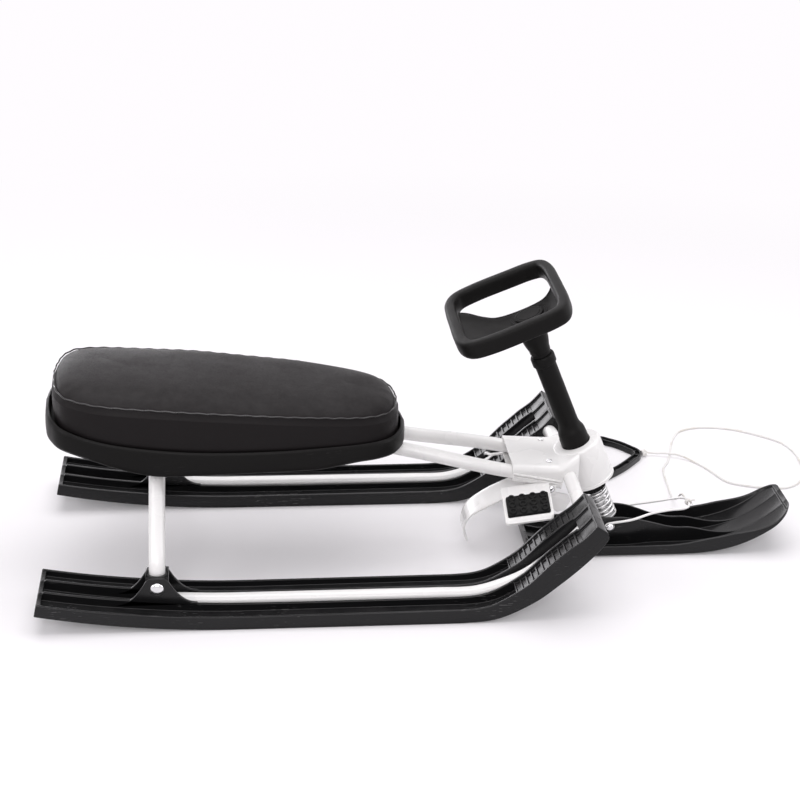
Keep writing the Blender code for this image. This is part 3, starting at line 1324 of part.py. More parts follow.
def boss_hardware(side, chrome):
    """Domed bolt through a boss, from its outer cheek, with a nut on the inner cheek."""
    word = "right" if side < 0 else "left"
    middle = side * TRACK / 2
    cheek = TUBE_CHANNEL / 2 + BOSS_CHEEK
    outer = middle + side * (cheek + TOUCH_GAP)
    inner = middle - side * (cheek + 0.0095)
    place = (LEG_X, BOSS_BOLT_Z)
    cross_bolt(f"leg_bolt_{word}", place, outer, inner, BOSS_BOLT / 2, BOSS_BOLT_HEAD / 2, chrome)
    face = middle - side * (cheek + TOUCH_GAP)
    low, high = sorted((face, face - side * LEG_NUT))
    cross_nut(f"leg_nut_{word}", place, low, high, BOSS_BOLT / 2 + TOUCH_GAP, LEG_NUT_RADIUS, chrome)


def drilled_leg_frame(steel):
    """The bent leg tube, drilled for the boss bolts."""
    frame = as_mesh(rear_leg_frame(steel), steel)
    for side in (-1, 1):
        middle = side * TRACK / 2
        hole = cross_bar_mesh("leg_hole", BOSS_BOLT / 2 + TOUCH_GAP, middle - 0.02, middle + 0.02)
        cut(frame, finish(f"leg_drill_{side}", hole, steel, Matrix.Translation((LEG_X, 0, BOSS_BOLT_Z))))
    return frame


def build():
    clear_scene()
    black = material("black_plastic", (0.012, 0.012, 0.013), 0.32)
    satin = material("satin_plastic", (0.018, 0.018, 0.019), 0.45)
    vinyl = material("black_vinyl", (0.016, 0.014, 0.014), 0.42)
    white = material("white_paint", (0.86, 0.86, 0.85), 0.28)
    chrome = material("chrome", (0.74, 0.74, 0.75), 0.18, 1.0)
    zinc = material("zinc_steel", (0.66, 0.66, 0.65), 0.35, 1.0)
    rubber = material("black_rubber", (0.02, 0.02, 0.02), 0.7)
    cord = material("white_cord", (0.82, 0.82, 0.80), 0.8)

    rear_runner("rear_runner_right", -1, black)
    rear_runner("rear_runner_left", 1, black)
    front_hoop(white)
    drilled_leg_frame(white)
    boss_hardware(-1, chrome)
    boss_hardware(1, chrome)
    main_tube("main_tube_right", -1, white)
    main_tube("main_tube_left", 1, white)
    seat_tray(satin)
    seat_cushion(vinyl)
    for word, side in (("right", -1), ("left", 1)):
        spacing = side * MAIN_REAR_HALF_SPACING
        for place, x in (("rear", SADDLE_REAR_X), ("front", SADDLE_FRONT_X)):
            seat_saddle(f"seat_saddle_{place}_{word}", x, main_tube_height(x), MAIN_TUBE, spacing, zinc)
    head_tube(white)
    head_upper_cover(white)
    head_lower_cover(white)
    for word, side in (("right", -1), ("left", 1)):
        screw(f"cover_screw_{word}", screw_place(side), (0, 0, 1), 0.0048, 0.003, COVER_SCREW / 2, 0.0045, chrome)
    steering_shaft(zinc)
    spring_ring(rubber)
    column_sleeve(satin)
    steering_wheel(satin)
    wheel_badge(satin)
    set_origin(suspension_spring(zinc), on_axis(SPRING_HIGH))
    ski_stem(zinc)
    pivot = on_axis(PIVOT_UP)
    set_origin(front_ski(black), pivot)
    end = BAIL_Y + BAIL_WIRE / 2 + TOUCH_GAP
    cross_bolt("ski_pivot_bolt", (pivot.x, pivot.z), -end, end + 0.006, PIVOT_BOLT / 2, 0.0075, chrome)
    cross_nut("ski_pivot_nut", (pivot.x, pivot.z), end, end + 0.005, PIVOT_BOLT / 2 + TOUCH_GAP, 0.0072, chrome)
    brake_axis = Vector((BRAKE_PIVOT_X, 0, BRAKE_PIVOT_Z))
    set_origin(brake_lever(white), brake_axis)
    set_origin(pedal_pad("pedal_pad_right", -1, rubber), brake_axis)
    set_origin(pedal_pad("pedal_pad_left", 1, rubber), brake_axis)
    for word, side in (("right", -1), ("left", 1)):
        start = side * (BRAKE_EAR_Y + BRAKE_SHEET + TOUCH_GAP)
        cross_bolt(f"brake_bolt_{word}", (BRAKE_PIVOT_X, BRAKE_PIVOT_Z), start, side * (BRAKE_EAR_Y + 0.0002),
                   BRAKE_ROD / 2, 0.0058, chrome, 12)
    set_origin(tow_bail(white), pivot)
    rope_knot("bail_knot", BAIL_KNOT, (0, 1, 0), BAIL_WIRE / 2 + 2 * TOUCH_GAP, BAIL_KNOT_RADIUS, BAIL_KNOT_LONG, cord)
    tube_curve("tow_rope_lead", lead_points(), ROPE, cord, 2)
    tube_curve("tow_rope_run", run_points(), ROPE, cord, 2)
    knot = end_knot_place(TOUCH_GAP + END_KNOT_LONG / 2)
    rope_knot("handle_knot", knot, knot - end_knot_place(0), 0, END_KNOT_RADIUS, END_KNOT_LONG, cord)
    tow_handle(black)


build()
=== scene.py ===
import math

import bmesh
import bpy
import numpy as np
from bpy.props import FloatProperty, FloatVectorProperty, IntProperty, PointerProperty
from mathutils import Matrix, Vector


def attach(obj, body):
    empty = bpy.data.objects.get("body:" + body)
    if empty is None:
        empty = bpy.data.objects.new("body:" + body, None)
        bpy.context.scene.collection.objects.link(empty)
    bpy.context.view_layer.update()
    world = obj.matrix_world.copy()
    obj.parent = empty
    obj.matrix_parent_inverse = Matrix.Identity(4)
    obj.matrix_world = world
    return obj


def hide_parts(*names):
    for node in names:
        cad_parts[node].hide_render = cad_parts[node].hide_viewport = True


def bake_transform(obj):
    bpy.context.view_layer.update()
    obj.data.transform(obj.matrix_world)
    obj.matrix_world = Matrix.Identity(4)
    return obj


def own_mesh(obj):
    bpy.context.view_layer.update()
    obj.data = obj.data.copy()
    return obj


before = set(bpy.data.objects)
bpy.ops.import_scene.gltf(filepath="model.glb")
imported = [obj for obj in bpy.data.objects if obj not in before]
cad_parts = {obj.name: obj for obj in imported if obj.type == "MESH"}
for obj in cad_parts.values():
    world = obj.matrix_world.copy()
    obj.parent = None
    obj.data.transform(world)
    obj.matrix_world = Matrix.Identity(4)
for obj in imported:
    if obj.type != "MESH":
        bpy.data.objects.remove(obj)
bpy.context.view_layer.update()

bl_info = {
    "name": "Steering sled dressing",
    "version": (1, 0, 0),
    "blender": (4, 5, 0),
    "location": "3D View > Sidebar > Sled",
    "description": "Builds the surfaces, materials, light and camera of a steering sled over its packed solids",
    "category": "Object",
}

SIDES = (("right", -1), ("left", 1))

# Clearances and overall sizes, in metres
TOUCH_GAP = 0.0003
RUNNING_GAP = 0.0005
TAIL_X = -0.600
TIP_X = 0.606
TRACK = 0.389

# Runners
RUNNER_WIDTH = 0.111
RUNNER_RIM = 0.0045
RUNNER_RIB = 0.005
TUBE_CHANNEL = 0.031
RUNNER_SKIN = 0.003
RUNNER_NOSE_X = 0.2595
RUNNER_NOSE_HEIGHT = 0.146
NOSE_ROUND = 0.013
RUNGS = 12
RUNG_PITCH = 0.0118
RUNG_WIDTH = 0.0026
RUNG_RECESS = 0.0026
END_RIM = 0.007
END_ROUND = 0.0016
TAIL_RISE = 0.031
TAIL_FLAT_X = -0.300
RAMP_START_X = 0.020
RAMP_SHAPE = ((0.0, 0.0), (0.10, 0.003), (0.297, 0.038), (0.5365, 0.228), (0.689, 0.43), (0.8017, 0.60),
              (0.910, 0.79), (1.0, 1.0))
RUNNER_DEPTH = ((0.0, 0.0195), (0.16, 0.0218), (0.35, 0.0213), (0.72, 0.0228), (0.83, 0.031), (0.89, 0.037),
                (0.935, 0.0365), (0.97, 0.031), (1.0, 0.0284))
PAD_LENGTH = 0.036
LADDER_GAP = 0.006
TUBE_FLOOR = 0.0072
TUBE_FLOOR_RAMP = 0.0035
BOSS_HEIGHT = 0.0706
BOSS_HALF_LENGTH = 0.060
BOSS_CHEEK = 0.005
BOSS_BOLT_Z = 0.052
BOSS_BOLT = 0.008
BOSS_BOLT_HEAD = 0.022

# Frame tubes
HOOP_TUBE = 0.022
LEG_TUBE = 0.025
MAIN_TUBE = 0.022
LEG_X = -0.420
LEG_TOP_Y = 0.095
MAIN_HALF_SPACING = 0.047
MAIN_REAR_HALF_SPACING = 0.030
MAIN_FRONT_X = 0.212
MAIN_SLOPE = 0.2
MAIN_HEIGHT = 0.182
MAIN_BEND = 0.0012
MAIN_SPREAD_X = (-0.06, 0.13)
MAIN_END_X = LEG_X - 0.045
CROSS_X = 0.231
CROSS_Z = 0.1445

# Seat
SEAT_REAR_X = -0.575
SEAT_FRONT_X = -0.047
BAND_DROP = 0.0112
SEAT_HALF_WIDTH = 0.113
CUSHION_CROWN = 0.015
CROWN_SHARES = (1.0, 0.992, 0.982, 0.968, 0.95, 0.925, 0.89, 0.85, 0.80, 0.74, 0.67, 0.59, 0.50, 0.40, 0.30, 0.20, 0.10,
                0.0)
SKIRT_OUT = 0.0043
SKIRT_UP = 0.0042
FILL_PRESSURE = 4.0
FILL_FRAMES = 12
FILL_SMOOTHING = 60
PUCKER = 0.0005
PUCKER_PITCH = 0.024
TRAY_RIM_OUT = 0.011
TRAY_WALL = 0.0035
TRAY_DECK = 0.004
DECK_HEIGHT = 0.2068
DECK_FALL = 0.0922
TRAY_BOTTOM_Z = 0.190
TRAY_RIM_LOW = 0.2280
TRAY_RIM_SWEEP = 0.0431
TRAY_FOOT_LOW = 0.1920
TRAY_FOOT_SWEEP = 0.0425
TRAY_FLARE = 0.006
SEAT_PLAN = ((0.0, 0.0), (0.006, 0.35), (0.022, 0.66), (0.060, 0.88), (0.144, 1.0), (0.337, 0.982), (0.529, 0.934),
             (0.721, 0.872), (0.875, 0.780), (0.945, 0.640), (0.985, 0.380), (1.0, 0.0))
SEAM_HEIGHT = 0.2625
SEAM_FALL = 0.070
SEAM_CURVE = 0.04
SEAT_SWELL = 0.010
SEAT_SWELL_RISE = 0.0045
NOTCH_BACK = 0.016
NOTCH_FRONT = 0.030

# Steering
RAKE = math.radians(23.0)
STEER_GROUND_X = 0.3253
COLLAR_RADIUS = 0.040
COLLAR_BOTTOM = 0.1270
COLLAR_TOP = 0.198
HEAD_TUBE_RADIUS = 0.0165
SHAFT_RADIUS = 0.0125
STEM_RADIUS = 0.0095
SLEEVE_RADIUS = 0.017
BOOT_RADIUS = 0.0235
BOOT_SINK = 0.0085
BOOT_PLAY = 0.0008
WHEEL_HUB = 0.430
HUB_AHEAD = 0.004
NECK_LOW = 0.3656
WHEEL_TOP = 0.4750
WHEEL_RIM_DEPTH = 0.0285
WHEEL_RIM_WIDTH = 0.019
WHEEL_WIDTH = 0.233
WHEEL_REAR = 0.118
WHEEL_FRONT = 0.070
RIM_ROUTE = ((-1.0, 0.0), (-0.998, 0.45), (-0.97, 0.74), (-0.86, 0.93), (-0.60, 1.0), (0.0, 1.0), (0.52, 0.985),
             (0.84, 0.90), (0.97, 0.66), (1.0, 0.0))
COVER_REAR_X = 0.137
COVER_SHEET = 0.0022
FLANGE_GAP = 0.0009
FLANGE_THICK = 0.0024
COVER_FRONT_X = 0.246
COVER_SCREW_X = 0.1985
COVER_SCREW_Y = 0.040
SLEEVE_TOP = 0.365
SPRING_RADIUS = 0.0190
SPRING_WIRE = 0.0040
SPRING_TURNS = 6.0
SPRING_LOW = 0.0545
SPRING_HIGH = 0.1050
RING_CUP = 0.0170
TEETH = 30
TOOTH = 0.0011

# Ski, bail and rope
SKI_WIDTH = 0.118
SKI_REAR_X = 0.168
SKI_RIM = 0.0045
SKI_FLOOR = 0.005
SKI_RIB = 0.0045
SKI_RIB_INSIDE = 0.0165
SKI_RIB_FLARE = 0.0230
SKI_FLAT_END = 0.410
SKI_TIP_RISE = 0.0715
SKI_TIP_POWER = 2.8
SKI_RIM_HEIGHT = 0.0185
SKI_RIB_HEIGHT = 0.055
SKI_REAR_RISE = 0.012
SKI_REAR_RUN = 0.070
SKI_TIP_ROUND = 0.032
SKI_REAR_ROUND = 0.020
SKI_TIP_FALL = 0.0105
PIVOT_UP = 0.0435
PIVOT_BOLT = 0.008
PIVOT_BOLT_HEAD = 0.015
BAIL_WIRE = 0.0042
BAIL_Y = SKI_RIB_FLARE + SKI_RIB + BAIL_WIRE / 2 + 0.0012
BAIL_ROUTE = ((0.345, -0.0315, 0.0530), (0.378, -0.0262, 0.0612), (0.408, -0.0215, 0.0643), (0.432, -0.0190, 0.0650),
              (0.4425, -0.0130, 0.0650), (0.4465, -0.0030, 0.0647), (0.4468, 0.0130, 0.0645), (0.4440, 0.0200, 0.0640),
              (0.4330, 0.0245, 0.0625), (0.4120, 0.0272, 0.0575), (0.3780, 0.0305, 0.0510), (0.3450, 0.0318, 0.0465))
ROPE = 0.0036
ROPE_LOW = ROPE / 2 + 0.0002
YARN = 0.0007
YARNS = 5
YARN_LONG = 0.008
ROPE_MEET = 0.0004
BAIL_KNOT = Vector((0.44675, 0.0050, 0.0646))
BAIL_KNOT_RADIUS = 0.0058
BAIL_KNOT_LONG = 0.008
END_KNOT_RADIUS = 0.006
END_KNOT_LONG = 0.012
END_KNOT_HEIGHT = END_KNOT_RADIUS + 0.0005
HANDLE_CORNERS = ((0.4420, 0.3055), (0.3700, 0.3770), (0.3480, 0.2080))
HANDLE_BAR = 0.014
HANDLE_DEEP = 0.011
HANDLE_ROUND = 0.026
LEAD_ROUTE = ((0.4485, 0.030, 0.0585), (0.4497, 0.048, 0.0550), (0.4510, 0.063, 0.0490), (0.4525, 0.080, 0.0360),
              (0.4545, 0.105, 0.0175), (0.4570, 0.130, 0.0060), (0.4590, 0.155, ROPE_LOW),
              (0.4620, 0.190, ROPE_LOW), (0.4645, 0.222, ROPE_LOW), (0.4668, 0.2400, ROPE_LOW))
RUN_ROUTE = ((0.4720, 0.258), (0.4830, 0.276), (0.4920, 0.300), (0.5010, 0.328), (0.5100, 0.356), (0.5210, 0.3815),
             (0.5370, 0.405), (0.5670, 0.419), (0.5970, 0.421), (0.6280, 0.415), (0.6570, 0.402), (0.6900, 0.378),
             (0.7150, 0.354), (0.7280, 0.322), (0.7300, 0.280), (0.7210, 0.230), (0.7020, 0.188), (0.6720, 0.168),
             (0.6350, 0.170), (0.5990, 0.180), (0.5720, 0.196), (0.5580, 0.226), (0.5450, 0.256), (0.5260, 0.284),
             (0.5020, 0.2990), (0.4800, 0.3050), (0.4660, 0.3085))
CROSSING = Vector((0.4945, 0.3015))
CROSSING_LIFT = ROPE + 0.0012

# Brake
BRAKE_PIVOT_X = 0.200
BRAKE_PIVOT_Z = 0.130
BRAKE_SHEET = 0.003
CLAW_TOP_WIDTH = 0.060
CLAW_TIP_WIDTH = 0.035
PEDAL_OUTER_Y = 0.129
BRAKE_ROD = 0.007
LEVER_BOLT_HEAD = 0.0116
BRAKE_SADDLE_LOW = 0.1175
BRAKE_SADDLE_REAR = 0.164
BRAKE_EAR_TOP = BRAKE_PIVOT_Z + 0.0065
WING_REAR = 0.1190
WING_FRONT = 0.1955
WING_CORNER = 0.006
WING_DRAWN_IN = 0.005
WING_ROOT_HEIGHT = 0.1365
WING_RISE = 0.13
WING_FALL = 0.40
WING_LEVEL_X = 0.160
CHEEK_OUTLINE = ((0.194, 0.1160), (0.206, 0.1162), (0.232, 0.110), (0.237, 0.099), (0.227, 0.081), (0.214, 0.079),
                 (0.190, 0.110))
CHEEK_IN = 0.0445
CHEEK_OUT = 0.0475
PAD_REAR = 0.1235
PAD_FRONT = 0.1905
PAD_INSET = 0.022
PAD_OUTSET = 0.0095
PAD_THICK = 0.0045
TREAD_ROWS = 3
TREADS_IN_ROW = 4
BRAKE_EAR_Y = MAIN_HALF_SPACING + MAIN_TUBE / 2 + COVER_SHEET + 0.0008
CLAW_ROUTE = ((0.188, 0.1165), (0.160, 0.1080), (0.128, 0.0935), (0.100, 0.0780), (0.0790, 0.0620), (0.0705, 0.0440),
              (0.0705, 0.0280), (0.0765, 0.0130))


class SledSizes(bpy.types.PropertyGroup):
    """Sizes of the fine surface, in metres."""
    sheet_edge: FloatProperty(name="Sheet edge", description="Radius of a pressed steel edge", default=0.0005,
                              min=0.0001, max=0.002, unit="LENGTH")
    piping: FloatProperty(name="Piping", description="Thickness of the welt round the cushion", default=0.0026,
                          min=0.002, max=0.01, unit="LENGTH")
    plump: FloatProperty(name="Plumpness", description="Furthest that the foam lifts the vinyl", default=0.006,
                         min=0.0, max=0.02, unit="LENGTH")
    strands: IntProperty(name="Rope strands", description="Strands twisted into the tow rope", default=3, min=2, max=5)
    lay: FloatProperty(name="Rope lay", description="Length of rope in which a strand goes round once",
                       default=0.012, min=0.006, max=0.04, unit="LENGTH")


class SledColours(bpy.types.PropertyGroup):
    """Colours of the sled's finishes."""
    gloss_black: FloatVectorProperty(name="Runner black", description="Gloss black plastic of runners and ski",
                                     subtype="COLOR", size=3, default=(0.008, 0.008, 0.0085), min=0, max=1)
    satin_black: FloatVectorProperty(name="Seat base black", description="Satin black plastic",
                                     subtype="COLOR", size=3, default=(0.0070, 0.0066, 0.0064), min=0, max=1)
    vinyl: FloatVectorProperty(name="Vinyl", description="Black vinyl of the cushion",
                               subtype="COLOR", size=3, default=(0.0100, 0.0085, 0.0088), min=0, max=1)
    paint: FloatVectorProperty(name="Paint", description="White paint of the frame",
                               subtype="COLOR", size=3, default=(0.86, 0.85, 0.84), min=0, max=1)
    rubber: FloatVectorProperty(name="Rubber", description="Black rubber of the pedals",
                                subtype="COLOR", size=3, default=(0.008, 0.008, 0.008), min=0, max=1)
    rope: FloatVectorProperty(name="Rope", description="White braided rope",
                              subtype="COLOR", size=3, default=(0.80, 0.79, 0.77), min=0, max=1)
    floor: FloatVectorProperty(name="Floor", description="Pale floor and backdrop",
                               subtype="COLOR", size=3, default=(0.90, 0.885, 0.90), min=0, max=1)


class SledStudio(bpy.types.PropertyGroup):
    """Camera and light."""
    focal: FloatProperty(name="Focal length", description="Lens on a 36 mm sensor, in millimetres", default=76.62,
                         min=20, max=300)
    pitch: FloatProperty(name="Pitch", description="Angle the camera looks down", default=math.radians(24.36),
                         subtype="ANGLE")
    yaw: FloatProperty(name="Yaw", description="Angle the camera is turned to the sled's front",
                       default=math.radians(6.11), subtype="ANGLE")
    roll: FloatProperty(name="Roll", description="Tilt of the picture", default=math.radians(1.69), subtype="ANGLE")
    key: FloatProperty(name="Key light", description="Power of the overhead light, in watts", default=21.0, min=0)
    fill: FloatProperty(name="Fill light", description="Power of each side light, in watts", default=13.0, min=0)
    world: FloatProperty(name="Room light", description="Strength of the light from all round", default=0.30, min=0)


# Points and meshes

def smooth(points, t):
    """Point at t (0 to 1) on a smooth curve through the points, spaced by the roots of their chords."""
    pts = np.array(points, dtype=float)
    chords = np.sqrt(np.maximum(np.linalg.norm(np.diff(pts, axis=0), axis=1), 1e-9))
    knots = np.concatenate(([0.0], np.cumsum(chords)))
    where = t * knots[-1]
    i = int(np.clip(np.searchsorted(knots, where) - 1, 0, len(pts) - 2))
    span = knots[i + 1] - knots[i]
    u = (where - knots[i]) / span

    def slope(j):
        if j == 0:
            return (pts[1] - pts[0]) / (knots[1] - knots[0])
        if j == len(pts) - 1:
            return (pts[-1] - pts[-2]) / (knots[-1] - knots[-2])
        before = (pts[j] - pts[j - 1]) / (knots[j] - knots[j - 1])
        after = (pts[j + 1] - pts[j]) / (knots[j + 1] - knots[j])
        wb = knots[j + 1] - knots[j]
        wa = knots[j] - knots[j - 1]
        return (before * wb + after * wa) / (wa + wb)

    m0 = slope(i) * span
    m1 = slope(i + 1) * span
    return ((2 * u**3 - 3 * u**2 + 1) * pts[i] + (u**3 - 2 * u**2 + u) * m0
            + (-2 * u**3 + 3 * u**2) * pts[i + 1] + (u**3 - u**2) * m1)


def run_along(points):
    """Distance along a line of points at each of them."""
    return np.concatenate(([0.0], np.cumsum(np.linalg.norm(np.diff(points, axis=0), axis=1))))


def even_points(points, count, fine=400):
    """Points evenly spaced along the smooth curve through the given ones."""
    dense = np.array([smooth(points, t) for t in np.linspace(0, 1, fine)])
    run = run_along(dense)
    marks = np.linspace(0, run[-1], count)
    return [Vector([float(np.interp(m, run, dense[:, k])) for k in range(dense.shape[1])]) for m in marks]


def ease(value, start, end):
    u = min(max((value - start) / (end - start), 0.0), 1.0)
    return u * u * (3 - 2 * u)


def on_axis(s):
    """Point on the steering axis, s metres up it from the ground."""
    return Vector((STEER_GROUND_X - math.sin(RAKE) * s, 0, math.cos(RAKE) * s))


def axis_frame(s):
    return Matrix.Translation(on_axis(s)) @ Matrix.Rotation(-RAKE, 4, "Y")


def toward(value, other, share):
    return value + (other - value) * share


def bent(start, corner, end, t):
    """Point at t (0 to 1) on the round corner from start to end."""
    return start * (1 - t) ** 2 + corner * 2 * t * (1 - t) + end * t * t


def circle(radius, segments=20):
    turns = [2 * math.pi * k / segments for k in range(segments)]
    return [(radius * math.cos(turn), radius * math.sin(turn)) for turn in turns]


def mirrored(plan, count, place):
    """Closed outline from half a plan; place makes (x, y) of a plan point, and both ends lie on the middle line."""
    half = [place(*smooth(plan, k / count)) for k in range(count + 1)]
    half[0] = (half[0][0], 0.0)
    half[-1] = (half[-1][0], 0.0)
    return half + [(x, -y) for x, y in half[-2:0:-1]]


def outward(loop, i):
    """Unit vector square to a closed loop of 2-D points at its point i, on the left of its run."""
    (a, b), (c, d) = loop[i - 1], loop[(i + 1) % len(loop)]
    along = Vector((c - a, d - b)).normalized()
    return Vector((-along.y, along.x))


def bm_to_mesh(bm, name):
    bmesh.ops.recalc_face_normals(bm, faces=bm.faces)
    mesh = bpy.data.meshes.new(name)
    bm.to_mesh(mesh)
    bm.free()
    return mesh


def loft(rings, name, closed=False):
    """One mesh through rings with the same number of points; closed joins the last ring to the first."""
    bm = bmesh.new()
    rows = [[bm.verts.new(p) for p in ring] for ring in rings]
    count = len(rows[0])
    pairs = list(zip(rows, rows[1:])) + ([(rows[-1], rows[0])] if closed else [])
    for low, high in pairs:
        for i in range(count):
            j = (i + 1) % count
            bm.faces.new((low[i], low[j], high[j], high[i]))
    if not closed:
        bm.faces.new(rows[0][::-1])
        bm.faces.new(rows[-1])
    return bm_to_mesh(bm, name)


def prism(name, outline, low, high):
    """Straight solid over an outline of (x, z) points, from y = low to y = high."""
    return loft([[Vector((x, y, z)) for x, z in outline] for y in (low, high)], name)


def rounded(outline, radius, steps=3):
    """The closed outline of 2-D points with each corner rounded, as far as its edges allow."""
    points = [Vector(p) for p in outline]
    made = []
    for i, corner in enumerate(points):
        before = points[i - 1] - corner
        after = points[(i + 1) % len(points)] - corner
        reach = min(radius, before.length * 0.45, after.length * 0.45)
        start = corner + before.normalized() * reach
        end = corner + after.normalized() * reach
        made += [bent(start, corner, end, k / steps) for k in range(steps + 1)]
    return made


def turned(name, profile, segments=48):
    """Closed solid of revolution about Z; profile is (radius, z)."""
    bm = bmesh.new()
    rings = []
    for r, z in profile:
        points = [(0, 0)] if r < 1e-5 else circle(r, segments)
        rings.append([bm.verts.new((x, y, z)) for x, y in points])
    for ring, nxt in zip(rings, rings[1:] + rings[:1]):
        for k in range(segments):
            m = (k + 1) % segments
            if len(ring) == 1 and len(nxt) == 1:
                break
            if len(ring) == 1:
                bm.faces.new((ring[0], nxt[k], nxt[m]))
            elif len(nxt) == 1:
                bm.faces.new((ring[k], nxt[0], ring[m]))
            else:
                bm.faces.new((ring[k], nxt[k], nxt[m], ring[m]))
    return bm_to_mesh(bm, name)


def sweep(name, points, section, closed=False, up=None):
    """A section of (side, up) points carried along the points. The section may be a function of the step."""
    points = [Vector(p) for p in points]
    rings = []
    normal = None
    for i, point in enumerate(points):
        ahead = points[(i + 1) % len(points)] if closed or i < len(points) - 1 else point
        behind = points[i - 1] if closed or i > 0 else point
        along = (ahead - behind).normalized()
        if up is not None:
            side = along.cross(Vector(up)).normalized()
            normal = side.cross(along)
        else:
            if normal is None:
                normal = Vector((0, 0, 1)) if abs(along.z) < 0.9 else Vector((1, 0, 0))
            normal = (normal - along * normal.dot(along)).normalized()
            side = along.cross(normal)
        outline = section(i) if callable(section) else section
        rings.append([point + side * a + normal * b for a, b in outline])
    return loft(rings, name, closed)


def linked(name, mesh, matrix=None):
    obj = bpy.data.objects.new(name, mesh)
    bpy.context.scene.collection.objects.link(obj)
    if matrix is not None:
        obj.matrix_world = matrix
    return obj


def smoothed(obj, angle=35):
    obj.data.shade_smooth()
    obj.data.set_sharp_from_angle(angle=math.radians(angle))
    return obj


def set_all(owner, **values):
    """Set several properties of one thing, and return it."""
    for key, value in values.items():
        setattr(owner, key, value)
    return owner


def applied(obj):
    """The object with its modifiers applied to its mesh."""
    bpy.context.view_layer.update()
    mesh = bpy.data.meshes.new_from_object(obj.evaluated_get(bpy.context.evaluated_depsgraph_get()))
    obj.modifiers.clear()
    obj.data = mesh
    return obj


def taken(obj):
    """The mesh of a temporary object, which is removed."""
    mesh = obj.data
    bpy.data.objects.remove(obj, do_unlink=True)
    return mesh


def boolean(obj, mesh, operation="DIFFERENCE", matrix=None):
    """Cut or join a closed mesh, and apply the result."""
    tool = linked("tool", mesh, matrix)
    set_all(obj.modifiers.new("shape", "BOOLEAN"), operation=operation, object=tool)
    applied(obj)
    taken(tool)


def bevelled(obj, width, angle=40, segments=2):
    """Round the mesh's sharp edges, and apply the result."""
    set_all(obj.modifiers.new("edges", "BEVEL"), width=width, segments=segments, limit_method="ANGLE",
            angle_limit=math.radians(angle), use_clamp_overlap=True)
    return applied(obj)


def edged(mesh, width, angle=40, segments=2):
    """The mesh with its sharp edges rounded."""
    return taken(bevelled(linked("blank", mesh), width, angle, segments))


def dress(obj, body, slot, *nodes, angle=35, mat=None):
    """Give a finished piece its material, its body and the solids it stands for."""
    obj.data.materials.clear()
    obj.data.materials.append(mat or finish_for(slot))
    smoothed(obj, angle)
    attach(obj, body)
    if nodes:
        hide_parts(*nodes)
    return obj


def shifted(mesh, matrix):
    """The mesh, moved by the matrix."""
    mesh.transform(matrix)
    return mesh


def merged(name, meshes):
    """One mesh from several."""
    bm = bmesh.new()
    for mesh in meshes:
        bm.from_mesh(mesh)
    made = bpy.data.meshes.new(name)
    bm.to_mesh(made)
    bm.free()
    return made


# Shader groups: effects that several finishes share

def new_group(name, inputs, outputs):
    """A shader group with number inputs (label, value) and outputs (label, kind), and its two end nodes."""
    group = bpy.data.node_groups.new(name, "ShaderNodeTree")
    for label, value in inputs:
        socket = group.interface.new_socket(label, in_out="INPUT", socket_type="NodeSocketFloat")
        socket.default_value = value
    for label, kind in outputs:
        group.interface.new_socket(label, in_out="OUTPUT", socket_type=kind)
    return group, group.nodes.new("NodeGroupInput"), group.nodes.new("NodeGroupOutput")


def placed(tree, kind, settings=None, **inputs):
    """A node of this kind in the tree, with its settings and its inputs, given by name or as i and a number."""
    made = tree.nodes.new(kind)
    for key, value in (settings or {}).items():
        setattr(made, key, value)
    for key, value in inputs.items():
        numbered = key[0] == "i" and key[1:].isdigit()
        socket = made.inputs[int(key[1:]) if numbered else key.replace("_", " ")]
        if isinstance(value, bpy.types.NodeSocket):
            tree.links.new(value, socket)
        else:
            socket.default_value = value
    return made


def maths(tree, operation, first, second, clamp=False):
    return placed(tree, "ShaderNodeMath", {"operation": operation, "use_clamp": clamp}, i0=first, i1=second).outputs[0]


def spread(tree, value, low, high, to_low=0.0, to_high=1.0):
    """A value mapped smoothly from one range to another."""
    return placed(tree, "ShaderNodeMapRange", {"interpolation_type": "SMOOTHSTEP"}, Value=value, From_Min=low,
                  From_Max=high, To_Min=to_low, To_Max=to_high).outputs["Result"]


def noise(tree, place, scale, detail=2.0, roughness=0.5):
    return placed(tree, "ShaderNodeTexNoise", Vector=place, Scale=scale, Detail=detail,
                  Roughness=roughness).outputs["Fac"]


def surface_grain():
    """Fine moulding grain and a slow drift of tone."""
    group, given, out = new_group("Surface grain", [("Grain scale", 900.0), ("Drift scale", 9.0)],
                                  [("Height", "NodeSocketFloat"), ("Tone", "NodeSocketFloat")])
    place = placed(group, "ShaderNodeTexCoord").outputs["Object"]
    group.links.new(noise(group, place, given.outputs["Grain scale"], 3.0, 0.55), out.inputs["Height"])
    group.links.new(noise(group, place, given.outputs["Drift scale"], 3.0), out.inputs["Tone"])
    return group


def handling_marks():
    """Sparse fine scratches and rubbed patches from handling and packing."""
    group, given, out = new_group("Handling marks", [("Scale", 60.0), ("Amount", 0.5)],
                                  [("Mask", "NodeSocketFloat")])
    place = placed(group, "ShaderNodeTexCoord").outputs["Object"]
    marks = None
    for turn, stretch in (((0.3, 0.1, 0.5), (1.0, 9.0, 9.0)), ((0.1, 0.4, -0.9), (1.0, 12.0, 12.0))):
        laid = placed(group, "ShaderNodeMapping", Vector=place, Rotation=turn, Scale=stretch).outputs["Vector"]
        line = spread(group, noise(group, laid, given.outputs["Scale"]), 0.655, 0.70)
        marks = line if marks is None else maths(group, "MAXIMUM", marks, line)
    patch = spread(group, noise(group, place, 11.0, 3.0), 0.48, 0.66)
    marks = maths(group, "MULTIPLY", marks, patch)
    marks = maths(group, "MULTIPLY", marks, given.outputs["Amount"], True)
    group.links.new(marks, out.inputs["Mask"])
    return group


